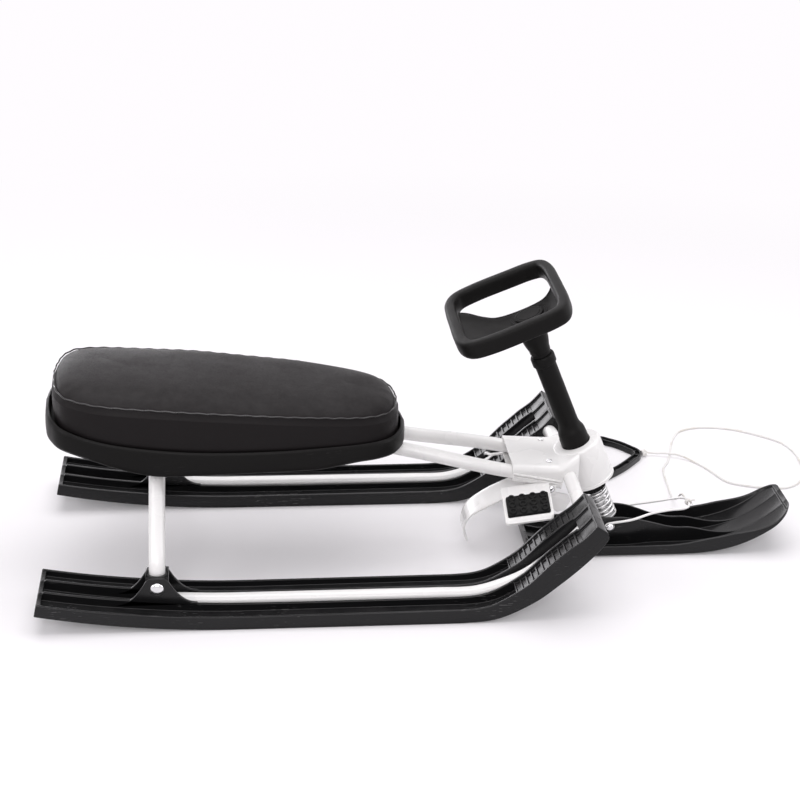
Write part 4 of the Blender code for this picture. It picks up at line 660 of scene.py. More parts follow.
def settled_dust():
    """A thin veil of dust on what faces up, thicker in patches."""
    group, given, out = new_group("Settled dust", [("Scale", 40.0), ("Amount", 0.3)], [("Mask", "NodeSocketFloat")])
    place = placed(group, "ShaderNodeTexCoord").outputs["Object"]
    facing = placed(group, "ShaderNodeNewGeometry").outputs["Normal"]
    upward = placed(group, "ShaderNodeSeparateXYZ", Vector=facing).outputs["Z"]
    upward = spread(group, upward, 0.35, 0.98)
    veil = spread(group, noise(group, place, given.outputs["Scale"], 6.0, 0.65), 0.30, 0.75)
    veil = maths(group, "MULTIPLY", veil, upward)
    veil = maths(group, "MULTIPLY", veil, given.outputs["Amount"], True)
    group.links.new(veil, out.inputs["Mask"])
    return group


def pebbled_skin():
    """Pebbled grain of embossed vinyl: flat cells with narrow creases between them."""
    group, given, out = new_group("Pebbled skin", [("Scale", 420.0)],
                                  [("Height", "NodeSocketFloat"), ("Crease", "NodeSocketFloat")])
    place = placed(group, "ShaderNodeTexCoord").outputs["Object"]
    bend = placed(group, "ShaderNodeTexNoise", Vector=place, Scale=160.0, Detail=2.0).outputs["Color"]
    moved = placed(group, "ShaderNodeMix", {"data_type": "VECTOR"}, Factor=0.004, i4=place, i5=bend)
    cells = placed(group, "ShaderNodeTexVoronoi", {"feature": "DISTANCE_TO_EDGE"}, Vector=moved.outputs[1],
                   Scale=given.outputs["Scale"]).outputs["Distance"]
    flat = spread(group, cells, 0.0, 0.16)
    height = maths(group, "ADD", flat, maths(group, "MULTIPLY", noise(group, place, 1500.0), 0.18))
    group.links.new(height, out.inputs["Height"])
    group.links.new(maths(group, "SUBTRACT", 1.0, flat), out.inputs["Crease"])
    return group


GROUPS = {}


def shared(name):
    """The named shader group, made once."""
    makers = {"grain": surface_grain, "marks": handling_marks, "dust": settled_dust, "pebble": pebbled_skin}
    if name not in GROUPS:
        GROUPS[name] = makers[name]()
    return GROUPS[name]


def effect(tree, name, **inputs):
    """A shared group placed in a material with its own values."""
    made = tree.nodes.new("ShaderNodeGroup")
    made.node_tree = shared(name)
    for key, value in inputs.items():
        made.inputs[key.replace("_", " ")].default_value = value
    return made.outputs


def blank_material(name, **sockets):
    """A material with only a Principled shader, whose uniform sockets are set by name."""
    mat = bpy.data.materials.new(name)
    mat.use_nodes = True
    tree = mat.node_tree
    shader = tree.nodes["Principled BSDF"]
    for key, value in sockets.items():
        shader.inputs[key.replace("_", " ")].default_value = value
    return mat, tree, shader


def tinted(tree, shader, base, other, mask):
    """Base colour: one colour, shifted to another where the mask is high."""
    mix = placed(tree, "ShaderNodeMix", {"data_type": "RGBA"}, Factor=mask, i6=(*base, 1), i7=(*other, 1))
    tree.links.new(mix.outputs[2], shader.inputs["Base Color"])


def sled_finish(name, colour, other, grain, gloss, relief=None, shown=(), rubbed=(), join="ADD", source="Tone",
                cloud=None, dust=None, marks=None, pebble=None, **sockets):
    """A material from the shared effects.

    Its masks are cloud (from, to, least, most), dust and marks (scale, amount) and the crease of the pebble. Each
    pair in shown says how much of a mask shifts the colour to the other one, and in rubbed how much it dulls.
    """
    mat, tree, shader = blank_material(name, **sockets)
    skin = effect(tree, "grain", Grain_scale=grain[0], Drift_scale=grain[1])
    height = skin["Height"]
    masks = {}
    if pebble:
        cells = effect(tree, "pebble", Scale=pebble)
        height, masks["crease"] = cells["Height"], cells["Crease"]
    if cloud:
        masks["cloud"] = spread(tree, skin["Tone"], *cloud)
    for key, values in (("dust", dust), ("marks", marks)):
        if values:
            masks[key] = effect(tree, key, Scale=values[0], Amount=values[1])["Mask"]
    tone = None
    for key, amount in shown:
        part = masks[key] if amount == 1 else maths(tree, "MULTIPLY", masks[key], amount)
        tone = part if tone is None else maths(tree, join, tone, part, True)
    tinted(tree, shader, colour, other, tone)
    dull = spread(tree, skin[source], 0.3, 0.7, *gloss)
    for key, amount in rubbed:
        dull = maths(tree, "ADD", dull, maths(tree, "MULTIPLY", masks[key], amount), True)
    tree.links.new(dull, shader.inputs["Roughness"])
    if relief:
        bump = placed(tree, "ShaderNodeBump", Distance=relief[0], Strength=relief[1], Height=height)
        tree.links.new(bump.outputs["Normal"], shader.inputs["Normal"])
    return mat


def darker(colour, *shares):
    """The colour times one share, or one for each channel."""
    return tuple(c * k for c, k in zip(colour, shares * (3 // len(shares))))


def moulded_plastic(name, colour, gloss, depth, grain, dust, marks, shine):
    """Moulded black plastic: slow changes of gloss, faint grain, dust on top and fine packing marks."""
    return sled_finish(name, colour, (0.23, 0.225, 0.225), (grain, 7.0), gloss, (depth, 1.0),
                       (("dust", 1), ("marks", 0.35)), (("marks", 0.18), ("dust", 0.25)), "MAXIMUM",
                       dust=(36.0, dust), marks=(46.0, marks), IOR=1.49, Specular_IOR_Level=shine)


def vinyl_cover(colour):
    """Embossed vinyl: pebbled grain, darker creases and a soft sheen."""
    return sled_finish("Seat vinyl", colour, (0.16, 0.15, 0.15), (500.0, 14.0), (0.36, 0.46), (0.00008, 0.6),
                       (("dust", 1),), (("crease", 0.18),), dust=(60.0, 0.05), pebble=430.0,
                       IOR=1.5, Specular_IOR_Level=0.11)


def gloss_cord(colour):
    """Smooth vinyl of the welt, glossier than the cover."""
    return sled_finish("Seat welt", colour, (0.05, 0.048, 0.048), (900.0, 40.0), (0.12, 0.22),
                       shown=(("cloud", 1),), cloud=(0.4, 0.8, 0.0, 0.4), IOR=1.5)


def baked_paint(colour):
    """White baked paint on steel: slight orange peel, faint grey where it thins and small marks."""
    return sled_finish("Baked white paint", colour, darker(colour, 0.80), (330.0, 12.0), (0.22, 0.32),
                       (0.00006, 1.0), (("cloud", 1), ("marks", 1)), (("marks", 0.2),),
                       cloud=(0.35, 0.7, 0.0, 0.10), marks=(52.0, 0.35), IOR=1.5, Coat_Weight=0.35,
                       Coat_Roughness=0.08)


def plated_steel(name, colour, gloss, grain):
    """Plated steel: bright metal with a fine drawn grain and faint clouds."""
    return sled_finish(name, colour, darker(colour, 0.72), (grain, 40.0), gloss, (0.00003, 1.0),
                       (("cloud", 1),), (("marks", 0.15),), cloud=(0.35, 0.7, 0.0, 0.5), marks=(150.0, 0.6),
                       Metallic=1.0)


def pedal_rubber(colour):
    """Matt rubber with a bloom of dust between its rings."""
    return sled_finish("Pedal rubber", colour, (0.17, 0.165, 0.16), (700.0, 30.0), (0.55, 0.72), (0.00012, 1.0),
                       (("dust", 1),), dust=(120.0, 0.10), IOR=1.52, Specular_IOR_Level=0.1)


def twisted_rope(colour):
    """Soft white cord: fuzzy yarn, slightly soiled in places."""
    return sled_finish("Rope yarn", colour, darker(colour, 0.80, 0.76, 0.68), (2200.0, 45.0), (0.75, 0.92),
                       (0.0002, 1.0), (("cloud", 1),), source="Height", cloud=(0.4, 0.75, 0.0, 0.6),
                       IOR=1.45, Sheen_Weight=0.25, Sheen_Roughness=0.5)


FINISHES = {}


def finish_for(slot):
    """The sled's finish for a material slot, made once."""
    if slot not in FINISHES:
        colours = bpy.context.scene.sled_colours
        makers = {
            "black_plastic": lambda: moulded_plastic("Runner plastic", colours.gloss_black, (0.18, 0.26), 0.00002,
                                                     700.0, 0.035, 0.6, 0.28),
            "satin_plastic": lambda: moulded_plastic("Satin plastic", colours.satin_black, (0.36, 0.46), 0.00007,
                                                     900.0, 0.03, 0.1, 0.10),
            "black_vinyl": lambda: vinyl_cover(colours.vinyl),
            "white_paint": lambda: baked_paint(colours.paint),
            "chrome": lambda: plated_steel("Chrome", (0.80, 0.80, 0.81), (0.07, 0.16), 900.0),
            "zinc_steel": lambda: plated_steel("Zinc plated steel", (0.70, 0.70, 0.70), (0.24, 0.40), 1400.0),
            "black_rubber": lambda: pedal_rubber(colours.rubber),
            "white_cord": lambda: twisted_rope(colours.rope)}
        FINISHES[slot] = makers[slot]()
    return FINISHES[slot]


# Studio and camera

def white_to_the_eye(tree, plain, white, end, share=None):
    """Lead the plain shader to the end node; the eye and a reflection see the white one there, in this share."""
    seen = placed(tree, "ShaderNodeLightPath").outputs
    light = maths(tree, "MAXIMUM", seen["Is Camera Ray"], seen["Is Glossy Ray"])
    light = maths(tree, "MAXIMUM", light, seen["Is Transmission Ray"])
    if share is not None:
        light = maths(tree, "MULTIPLY", light, share)
    choice = placed(tree, "ShaderNodeMixShader", i0=light, i1=plain.outputs[0], i2=white.outputs[0])
    tree.links.new(choice.outputs[0], tree.nodes[end].inputs["Surface"])


def floor_finish():
    """Pale floor: lit like paper round the sled, and the backdrop's white far off."""
    mat, tree, shader = blank_material("Studio floor", Roughness=0.62, IOR=1.3)
    colour = bpy.context.scene.sled_colours.floor
    place = placed(tree, "ShaderNodeTexCoord").outputs["Object"]
    tinted(tree, shader, colour, darker(colour, 0.97), noise(tree, place, 1.3))
    span = placed(tree, "ShaderNodeVectorMath", {"operation": "LENGTH"}, i0=place)
    far = spread(tree, span.outputs["Value"], 1.0, 2.2, 0.12, 1.0)
    white_to_the_eye(tree, shader, placed(tree, "ShaderNodeEmission", Color=BACKDROP), "Material Output", far)
    return mat


def soft_lamp(name, place, aim, size, watts, colour):
    """A large rectangular lamp that faces a point."""
    lamp = set_all(bpy.data.lights.new(name, "AREA"), shape="RECTANGLE", size=size[0], size_y=size[1], energy=watts,
                   color=colour)
    turn = (Vector(aim) - Vector(place)).to_track_quat("-Z", "Y").to_matrix().to_4x4()
    return linked(name, lamp, Matrix.Translation(Vector(place)) @ turn)


BACKDROP = (1.0, 0.975, 1.0, 1)
FLOOR_Z = -0.0004
FLOOR_RADII = (3.0, 12.0)
FLOOR_SIDES = 64
CAMERA_PLACE = Vector((-0.301, -2.441, 1.372))


class SLED_OT_studio(bpy.types.Operator):
    """Make the floor, backdrop, lamps and camera"""
    bl_idname = "sled.studio"
    bl_label = "Studio and camera"

    def execute(self, context):
        studio = context.scene.sled_studio
        camera = set_all(bpy.data.cameras.new("Camera"), sensor_width=36.0, lens=studio.focal, clip_end=60.0)
        forward = Vector((math.sin(studio.yaw) * math.cos(studio.pitch), math.cos(studio.yaw) * math.cos(studio.pitch),
                          -math.sin(studio.pitch)))
        level = Vector((math.cos(studio.yaw), -math.sin(studio.yaw), 0))
        upward = level.cross(forward)
        across = level * math.cos(studio.roll) + upward * math.sin(studio.roll)
        upright = upward * math.cos(studio.roll) - level * math.sin(studio.roll)
        turn = Matrix((across, upright, -forward)).transposed().to_4x4()
        context.scene.camera = linked("Camera", camera, Matrix.Translation(CAMERA_PLACE) @ turn)

        bm = bmesh.new()
        near, far = [[bm.verts.new((x, y, FLOOR_Z)) for x, y in circle(radius, FLOOR_SIDES)]
                     for radius in FLOOR_RADII]
        bm.faces.new(near)
        for k in range(FLOOR_SIDES):
            bm.faces.new((near[k - 1], far[k - 1], far[k], near[k]))
        ground = linked("studio_floor", bm_to_mesh(bm, "studio_floor"))
        ground.data.materials.append(floor_finish())

        for name, place, aim, size, watts, colour in (
                ("lamp_over", (0.1, 0.5, 3.2), (0.05, 0.0, 0.0), (3.6, 3.0), studio.key * 4, (1.0, 0.985, 1.0)),
                ("lamp_left", (-3.2, -1.2, 2.0), (0, 0, 0.1), (2.0, 2.2), studio.fill * 3, (1.0, 0.98, 1.0)),
                ("lamp_right", (3.0, -0.2, 1.8), (0.2, 0, 0.1), (1.8, 2.2), studio.fill * 2, (0.98, 0.98, 1.0)),
                ("lamp_front", (-0.5, -3.5, 2.6), (0, 0, 0.15), (2.6, 1.6), studio.fill * 4, (1.0, 0.985, 0.99)),
                ("lamp_back", (-1.9, 4.2, 0.85), (0.3, 0, 0.1), (3.0, 1.1), studio.fill * 3, (0.98, 0.97, 1.0))):
            lamp = soft_lamp(name, place, aim, size, watts, colour)
            lamp.visible_camera = name != "lamp_back"
        world = bpy.data.worlds.new("Studio room")
        context.scene.world = world
        world.use_nodes = True
        glow = world.node_tree.nodes["Background"]
        glow.inputs["Color"].default_value = (0.985, 0.965, 1.0, 1)
        glow.inputs["Strength"].default_value = studio.world
        white = placed(world.node_tree, "ShaderNodeBackground", Color=BACKDROP, Strength=1.0)
        white_to_the_eye(world.node_tree, glow, white, "World Output")
        context.scene.view_settings.view_transform = "Standard"
        return {"FINISHED"}


# Tow rope

def handle_corner(i):
    """Start, corner and end of one round corner of the handle's middle line."""
    corners = [Vector(c) for c in HANDLE_CORNERS]
    corner = corners[i]
    low, high = [corner + (other - corner).normalized() * HANDLE_ROUND
                 for other in (corners[i - 1], corners[(i + 1) % 3])]
    return low, corner, high


def handle_middle():
    return sum([Vector(c) for c in HANDLE_CORNERS], Vector((0, 0))) / 3


def end_knot_place(along):
    """Point on the line that leads out of the handle's rope corner, along it from the corner's outer wall."""
    apex = bent(*handle_corner(0), 0.5)
    point = apex + (apex - handle_middle()).normalized() * (HANDLE_BAR / 2 + along)
    return Vector((point.x, point.y, END_KNOT_HEIGHT))


def lead_points(count):
    """Rope from the bail's knot down to the ground and away to the rider's left."""
    start = BAIL_KNOT + Vector((0.0005, BAIL_KNOT_LONG * 0.475 + ROPE_MEET, -0.8 * BAIL_KNOT_RADIUS))
    coarse = even_points([start] + [Vector(p) for p in LEAD_ROUTE], 26)
    return even_points(coarse, count, 1200)


def run_points(count):
    """Rope on the ground: one open loop that crosses over itself and ends at the handle's knot."""
    before, last = Vector(LEAD_ROUTE[-2]), Vector(LEAD_ROUTE[-1])
    start = last + (last - before).normalized() * ROPE_MEET
    end = end_knot_place(TOUCH_GAP + END_KNOT_LONG + ROPE_MEET)
    route = [start] + [Vector((x, y, ROPE_LOW)) for x, y in RUN_ROUTE] + [Vector((end.x, end.y, ROPE_LOW))]
    points = even_points(route, 62, 1500)
    half = len(points) // 2
    for point in points[half + 1:]:
        away = (point.xy - CROSSING).length
        over = CROSSING_LIFT * (1 - ease(away, 0.012, 0.045))
        near = (point.xy - end.xy).length
        up = (END_KNOT_HEIGHT - ROPE_LOW) * (1 - ease(near, 0.006, 0.030))
        point.z += max(over, up)
    return even_points(points, count, 2600)


def length_of(points):
    return sum((b - a).length for a, b in zip(points, points[1:]))


def rope_mesh(name, points, first):
    """Rope of twisted strands along the points; first is the step at which its twist starts."""
    sizes = bpy.context.scene.sled_sizes
    strands = sizes.strands
    step = length_of(points) / (len(points) - 1)
    sides = strands * 6

    def section(i):
        twist = 2 * math.pi * (first + i) * step / sizes.lay
        outline = []
        for a, b in circle(1, sides):
            lobe = abs(math.cos(strands * (math.atan2(b, a) - twist) / 2))
            reach = ROPE / 2 * (0.80 + 0.20 * lobe ** 0.7)
            outline.append((reach * a, reach * b))
        return outline
    return sweep(name, points, section)


def frayed_end(root, along):
    """Loose yarns that stand out of a knot, as curves with their own bends."""
    rng = np.random.default_rng(7)
    meshes = []
    for _ in range(YARNS):
        lean = Vector(rng.normal(0, 0.45, 3))
        aim = (Vector(along).normalized() + lean).normalized()
        droop = Vector((0, 0, -0.35 * YARN_LONG))
        tip = root + aim * YARN_LONG + droop * float(rng.uniform(0.3, 1))
        points = [root, root + aim * YARN_LONG * 0.5, tip]
        meshes.append(sweep("yarn", even_points(points, 7, 60), circle(YARN / 2, 6)))
    return meshes


def hitch_mesh(name, centre, along, bore, out, long, bands):
    """A knot: rope wound in bands round a core, with one band laid across the others."""
    turn = Vector(along).to_track_quat("Z", "Y").to_matrix().to_4x4()
    frame_at = Matrix.Translation(Vector(centre)) @ turn
    thick = ROPE / 2 * 0.92
    ring = out - thick
    high = long / 2 - thick

    def wound(count, first, last, reach, low, top):
        points = []
        for t in [k / count for k in range(count + 1)]:
            angle = toward(first, last, t)
            points.append(Vector((reach * math.cos(angle), reach * math.sin(angle), toward(low, top, t))))
        return sweep(name, points, circle(thick, 10))
    core = [(ring * 0.9, -long * 0.42), (ring * 0.9, long * 0.42)]
    inner = [(bore, long * 0.35), (bore, -long * 0.35)] if bore else [(0, long * 0.42), (0, -long * 0.42)]
    meshes = [wound(20 * bands, 0, 2 * math.pi * bands, ring, -high, high),
              wound(12, 0.6, 2.3, ring + thick * 0.35, high, -high), turned(name, core + inner, 20)]
    return [shifted(mesh, frame_at) for mesh in meshes]


class SLED_OT_tow_rope(bpy.types.Operator):
    """Make the tow rope with its knots, and lay it as in the photograph"""
    bl_idname = "sled.tow_rope"
    bl_label = "Tow rope"

    def execute(self, context):
        lead = lead_points(261)
        run = run_points(1501)
        hitch = hitch_mesh("rope_hitch", BAIL_KNOT, (0, 1, 0), BAIL_WIRE / 2, BAIL_KNOT_RADIUS, BAIL_KNOT_LONG, 2)
        hitch += frayed_end(BAIL_KNOT + Vector((0.0045, 0, 0.002)), (0.9, 0.2, 0.3))
        dress(linked("rope_hitch", merged("rope_hitch", hitch)), "bail", "white_cord", "bail_knot", angle=60)
        place = end_knot_place(TOUCH_GAP + END_KNOT_LONG / 2)
        stop = hitch_mesh("rope_stop", place, place - end_knot_place(0), 0, END_KNOT_RADIUS, END_KNOT_LONG, 3)
        end_knot = linked("rope_stop", merged("rope_stop", stop))
        dress(end_knot, "frame", "white_cord", "handle_knot", angle=60)

        # Each stretch of rope is a mesh of its own, listed with the two bodies that its ends follow; only the last one
        # is attached, to the frame
        stretches = (("rope_lead", lead[:121], 0, "tow_rope_lead", ("bail", "fork")),
                     ("rope_drop", lead[120:], 120, "tow_rope_lead", ("fork", "steering")),
                     ("rope_slack", run[:501], 0, "tow_rope_run", ("steering", "frame")),
                     ("rope_run", run[500:], 500, "tow_rope_run", None))
        for name, path, first, node, pair in stretches:
            rope = linked(name, rope_mesh(name, path, first))
            rope.data.materials.append(finish_for("white_cord"))
            smoothed(rope, 60)
            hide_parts(node)
            if pair:
                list(pair)
                tuple(path[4])
                tuple(path[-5])
                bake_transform(rope)
            else:
                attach(rope, "frame")
            tuple(path[0])
            length_of(path)
            [tuple(p) for p in path[::10] + path[-1:]]
        return {"FINISHED"}


# Rear runners

def runner_bottom():
    """Points along the runner's sole, tail to nose, as (x, z)."""
    points = [(x, TAIL_RISE * ((TAIL_FLAT_X - x) / (TAIL_FLAT_X - TAIL_X)) ** 2)
              for x in np.linspace(TAIL_X, TAIL_FLAT_X, 40)]
    for t in np.linspace(0, 1, 240):
        f, g = smooth(RAMP_SHAPE, t)
        points.append((toward(RAMP_START_X, RUNNER_NOSE_X, f), max(g, 0.0) * RUNNER_NOSE_HEIGHT))
    return np.array(points)


SOLE = runner_bottom()
SOLE_RUN = run_along(SOLE)
RUNNER_RUN = float(SOLE_RUN[-1])
LADDER_END = RUNNER_RUN - PAD_LENGTH
LADDER_START = LADDER_END - RUNGS * RUNG_PITCH


def sole_frame(d):
    """Sole point, forward direction and upward normal at distance d along the runner."""
    def at(run):
        return np.array([np.interp(run, SOLE_RUN, SOLE[:, 0]), np.interp(run, SOLE_RUN, SOLE[:, 1])])
    low = max(d - 0.012, 0.0)
    high = min(d + 0.012, RUNNER_RUN)
    forward = at(high) - at(low)
    forward /= np.linalg.norm(forward)
    return at(d), forward, np.array([-forward[1], forward[0]])


def runner_point(d, across, height, side):
    """World point on a runner: d along the sole, across from its middle, height above the sole."""
    base, _, up = sole_frame(d)
    return Vector((base[0] + up[0] * height, side * TRACK / 2 + across, base[1] + up[1] * height))


def runner_depth(d):
    runs, depths = zip(*RUNNER_DEPTH)
    near = [float(np.interp(min(max(d + s, 0), RUNNER_RUN) / RUNNER_RUN, runs, depths)) for s in (-0.006, 0, 0.006)]
    return sum(near) / 3


def distance_at(x):
    """Distance along the sole at which the sole has this x."""
    return float(np.interp(x, SOLE[:, 0], SOLE_RUN))


def tube_floor(d):
    """Height of the tube channel's floor above the sole."""
    drop = ease(d, LADDER_START - 0.04, LADDER_START + 0.06)
    return TUBE_FLOOR + (TUBE_FLOOR_RAMP - TUBE_FLOOR) * drop


def end_draw(near, most):
    """How far a moulding is drawn in near its end, so that the end's edge is round."""
    return most * (1 - math.sqrt(max(0.0, 1 - (1 - min(near / END_ROUND, 1.0)) ** 2)))


def pocket_windows():
    """Start and end of each pocket between the rungs, along the sole."""
    for k in range(RUNGS):
        start = LADDER_START + LADDER_GAP / 2 + k * RUNG_PITCH
        yield start, start + RUNG_PITCH - RUNG_WIDTH


def pocket_share(d):
    """How deep the floor lies in a pocket here, from 0 on a rung to 1 in the pocket's floor."""
    share = 0.0
    for start, end in pocket_windows():
        share = max(share, ease(d, start - 0.0002, start + 0.0010) * (1 - ease(d, end - 0.0010, end + 0.0002)))
    return share


def runner_section(d, side):
    """Closed outline across a runner, with every moulded corner rounded."""
    draw = end_draw(min(d, RUNNER_RUN - d), 0.0014)
    depth = runner_depth(d)
    half = RUNNER_WIDTH / 2 - draw
    inner = TUBE_CHANNEL / 2
    outer = inner + RUNNER_RIB
    leg = distance_at(LEG_X)
    rib = depth + 0.0012 + 0.002 * (1 - ease(d, leg, leg + 0.25))
    floor = depth - 0.010 - 0.004 * ease(d, LADDER_START - 0.12, LADDER_START)
    centre = tube_floor(d)
    under = floor - RUNNER_SKIN
    under_centre = centre - RUNNER_SKIN
    ladder = ease(d, LADDER_START - 0.0006, LADDER_START + 0.0012)
    pad = ease(d, LADDER_END - 0.0004, LADDER_END + 0.0010)
    tail = 1 - ease(d, END_RIM - 0.0006, END_RIM + 0.0010)
    end = max(tail, ease(d, RUNNER_RUN - 0.0052, RUNNER_RUN - 0.0040))
    floor = toward(floor, depth - 0.0015 - RUNG_RECESS * pocket_share(d), ladder)
    under = toward(under, depth - 0.0015 - RUNG_RECESS - RUNNER_SKIN, ladder)
    under_centre = toward(under_centre, 0.0006, ladder)
    rib = toward(rib, depth - 0.0004, pad)
    for drop, share in ((0.0035, pad), (0.0003, end)):
        floor = toward(floor, depth - drop, share)
        centre = toward(centre, depth - drop, share)
    under = toward(under, 0.0008, end)
    under_centre = max(toward(under_centre, 0.0008, end), 0.0008)
    rib = toward(rib, depth + 0.0006, tail)
    if draw > 0:
        depth -= draw
        floor = min(floor, depth - 0.0002)
        centre = min(centre, depth - 0.0002)
        rib = min(rib, depth + 0.0002)
    past = max(d - (RUNNER_RUN - NOSE_ROUND), 0.0)
    low = draw * 0.6 + NOSE_ROUND - math.sqrt(max(NOSE_ROUND ** 2 - past ** 2, 0.0))
    under = max(under, low + 0.0008)
    under_centre = max(under_centre, low + 0.0008)
    upper = ((inner, centre), (inner, rib), (outer, rib), (outer, floor), (half - RUNNER_RIM, floor),
             (half - RUNNER_RIM, depth), (half, depth), (half, low))
    lower = ((half - RUNNER_SKIN, low), (half - RUNNER_SKIN, under), (outer, under), (outer, low), (inner, low),
             (inner, under_centre))
    right = upper + lower
    left = tuple((-y, z) for y, z in right[::-1])
    rows = left[len(lower):] + right + left[:len(lower)]
    return [runner_point(d, p.x, p.y, side) for p in rounded(rows, 0.0011)]


def runner_stations():
    marks = [0.0, 0.0002, 0.0005, 0.0009, 0.0016]
    marks += [END_RIM - 0.0006, END_RIM - 0.0001, END_RIM + 0.0004, END_RIM + 0.0010]
    marks += list(np.arange(0.012, LADDER_START - 0.003, 0.006))
    marks += [LADDER_START - 0.0006, LADDER_START, LADDER_START + 0.0006, LADDER_START + 0.0012]
    for start, end in pocket_windows():
        marks += [start - 0.0002, start + 0.0002, start + 0.0006, start + 0.0010]
        marks += [end - 0.0010, end - 0.0006, end - 0.0002, end + 0.0002]
    marks += [LADDER_END - 0.0004, LADDER_END + 0.0001, LADDER_END + 0.0006, LADDER_END + 0.0010]
    marks += list(np.arange(LADDER_END + 0.004, RUNNER_RUN - 0.006, 0.003))
    marks += [RUNNER_RUN - s for s in (0.0052, 0.0048, 0.0044, 0.0040, 0.0016, 0.0009, 0.0005, 0.0002, 0.0)]
    made = []
    for mark in sorted(marks):
        if not made or mark - made[-1] > 0.00012:
            made.append(float(mark))
    return made


def box_outline(x, low, high, half):
    """The four corners of a box round x, as (x, z)."""
    return [(x - half, low), (x + half, low), (x + half, high), (x - half, high)]


def bore_profile(radius, low, high):
    """Profile of a plain round bar for turned()."""
    return [(0, low), (radius, low), (radius, high), (0, high)]


def cheek_outline():
    """Side view of a boss cheek: a low base, concave flanks and a chamfered top."""
    base_z = float(sole_frame(distance_at(LEG_X))[0][1]) + 0.019
    shoulder = BOSS_HEIGHT - 0.006
    right = [(BOSS_HALF_LENGTH, base_z)]
    for t in np.linspace(0, 1, 16):
        right.append((toward(BOSS_HALF_LENGTH, 0.017, t), toward(base_z + 0.004, shoulder, t ** 2.2)))
    right.append((0.012, BOSS_HEIGHT))
    return [(LEG_X + x, z) for x, z in right] + [(LEG_X - x, z) for x, z in right[::-1]]


def boss_pieces(side):
    """The boss: two cheeks and the socket block between them, bored for the leg tube."""
    middle = side * TRACK / 2
    inner = TUBE_CHANNEL / 2
    made = []
    for sign in (-1, 1):
        edges = sorted((middle + sign * inner, middle + sign * (inner + BOSS_CHEEK)))
        made.append(edged(prism("cheek", cheek_outline(), *edges), 0.0012, 30, 3))
    low = float(sole_frame(distance_at(LEG_X))[0][1]) + TUBE_FLOOR + HOOP_TUBE + 0.004
    block = box_outline(LEG_X, low, BOSS_HEIGHT + 0.0006, (HOOP_TUBE + 0.0125) / 2)
    box = linked("socket", prism("socket", block, middle - inner - 0.001, middle + inner + 0.001))
    bore = turned("bore", bore_profile(LEG_TUBE / 2 + 0.0006, 0.035, 0.09))
    boolean(box, bore, matrix=Matrix.Translation((LEG_X, middle, 0)))
    made.append(taken(bevelled(box, 0.0010)))
    return made


def nose_ridges(side):
    """Two low V-shaped ridges across the sole under the nose."""
    made = []
    section = [(-0.0013, -0.0004), (0.0013, -0.0004), (0.0006, 0.0007), (-0.0006, 0.0007)]
    for start in (RUNNER_RUN - 0.020, RUNNER_RUN - 0.034):
        shares = [k / 16 * 2 - 1 for k in range(17)]
        points = [runner_point(start - 0.010 * abs(share), share * (RUNNER_WIDTH / 2 - 0.009), 0.0, side)
                  for share in shares]
        made.append(sweep("ridge", points, section, up=(1, 0, -0.3)))
    return made


class SLED_OT_runners(bpy.types.Operator):
    """Make the two moulded rear runners with their rung ladders, nose pads and bosses"""
    bl_idname = "sled.runners"
    bl_label = "Rear runners"

    def execute(self, context):
        for word, side in SIDES:
            name = f"runner_{word}"
            body = loft([runner_section(d, side) for d in runner_stations()], "runner")
            runner = linked(name, merged(name, [body] + boss_pieces(side) + nose_ridges(side)))
            dress(runner, "frame", "black_plastic", f"rear_{name}", angle=34)
        return {"FINISHED"}


# Frame tubes

def tray_deck(x):
    """Height of the plane that the cushion lies on."""
    return DECK_HEIGHT - DECK_FALL * x


def main_tube_height(x):
    """Height of a main tube's centre line: a steep front part, then level with the tray's deck."""
    front = MAIN_HEIGHT - MAIN_SLOPE * x
    under = tray_deck(x) - TRAY_DECK - TOUCH_GAP - MAIN_TUBE / 2 - 0.0002
    return -MAIN_BEND * math.log(math.exp(-front / MAIN_BEND) + math.exp(-under / MAIN_BEND))


def main_spacing(x):
    """Half the spacing of the main tubes: narrow under the seat, wider into the head."""
    return toward(MAIN_REAR_HALF_SPACING, MAIN_HALF_SPACING, ease(x, *MAIN_SPREAD_X))


def hoop_path(side):
    """Centre line of one half of the hoop, from its rear end in the channel to the sled's middle."""
    route = []
    start = distance_at(LEG_X) + LEG_TUBE / 2 + 0.006
    for d in list(np.linspace(start, LADDER_START, 9)) + list(np.linspace(LADDER_START, LADDER_END - 0.012, 6))[1:]:
        height = tube_floor(d) + 2 * RUNNING_GAP + HOOP_TUBE / 2
        route.append(runner_point(d, 0, height, side))
    route.append(runner_point(RUNNER_RUN - 0.030, -side * 0.006, 0.0135, side))
    wall = side * (TRACK / 2 - RUNNER_WIDTH / 2)
    route.append(Vector((CROSS_X + 0.001, wall + side * 0.015, CROSS_Z - 0.0150)))
    route.append(Vector((CROSS_X + 0.001, wall - side * 0.013, CROSS_Z - 0.0060)))
    route.append(Vector((CROSS_X, side * 0.075, CROSS_Z)))
    route.append(Vector((CROSS_X, 0, CROSS_Z)))
    return even_points(route, 220, 1600)


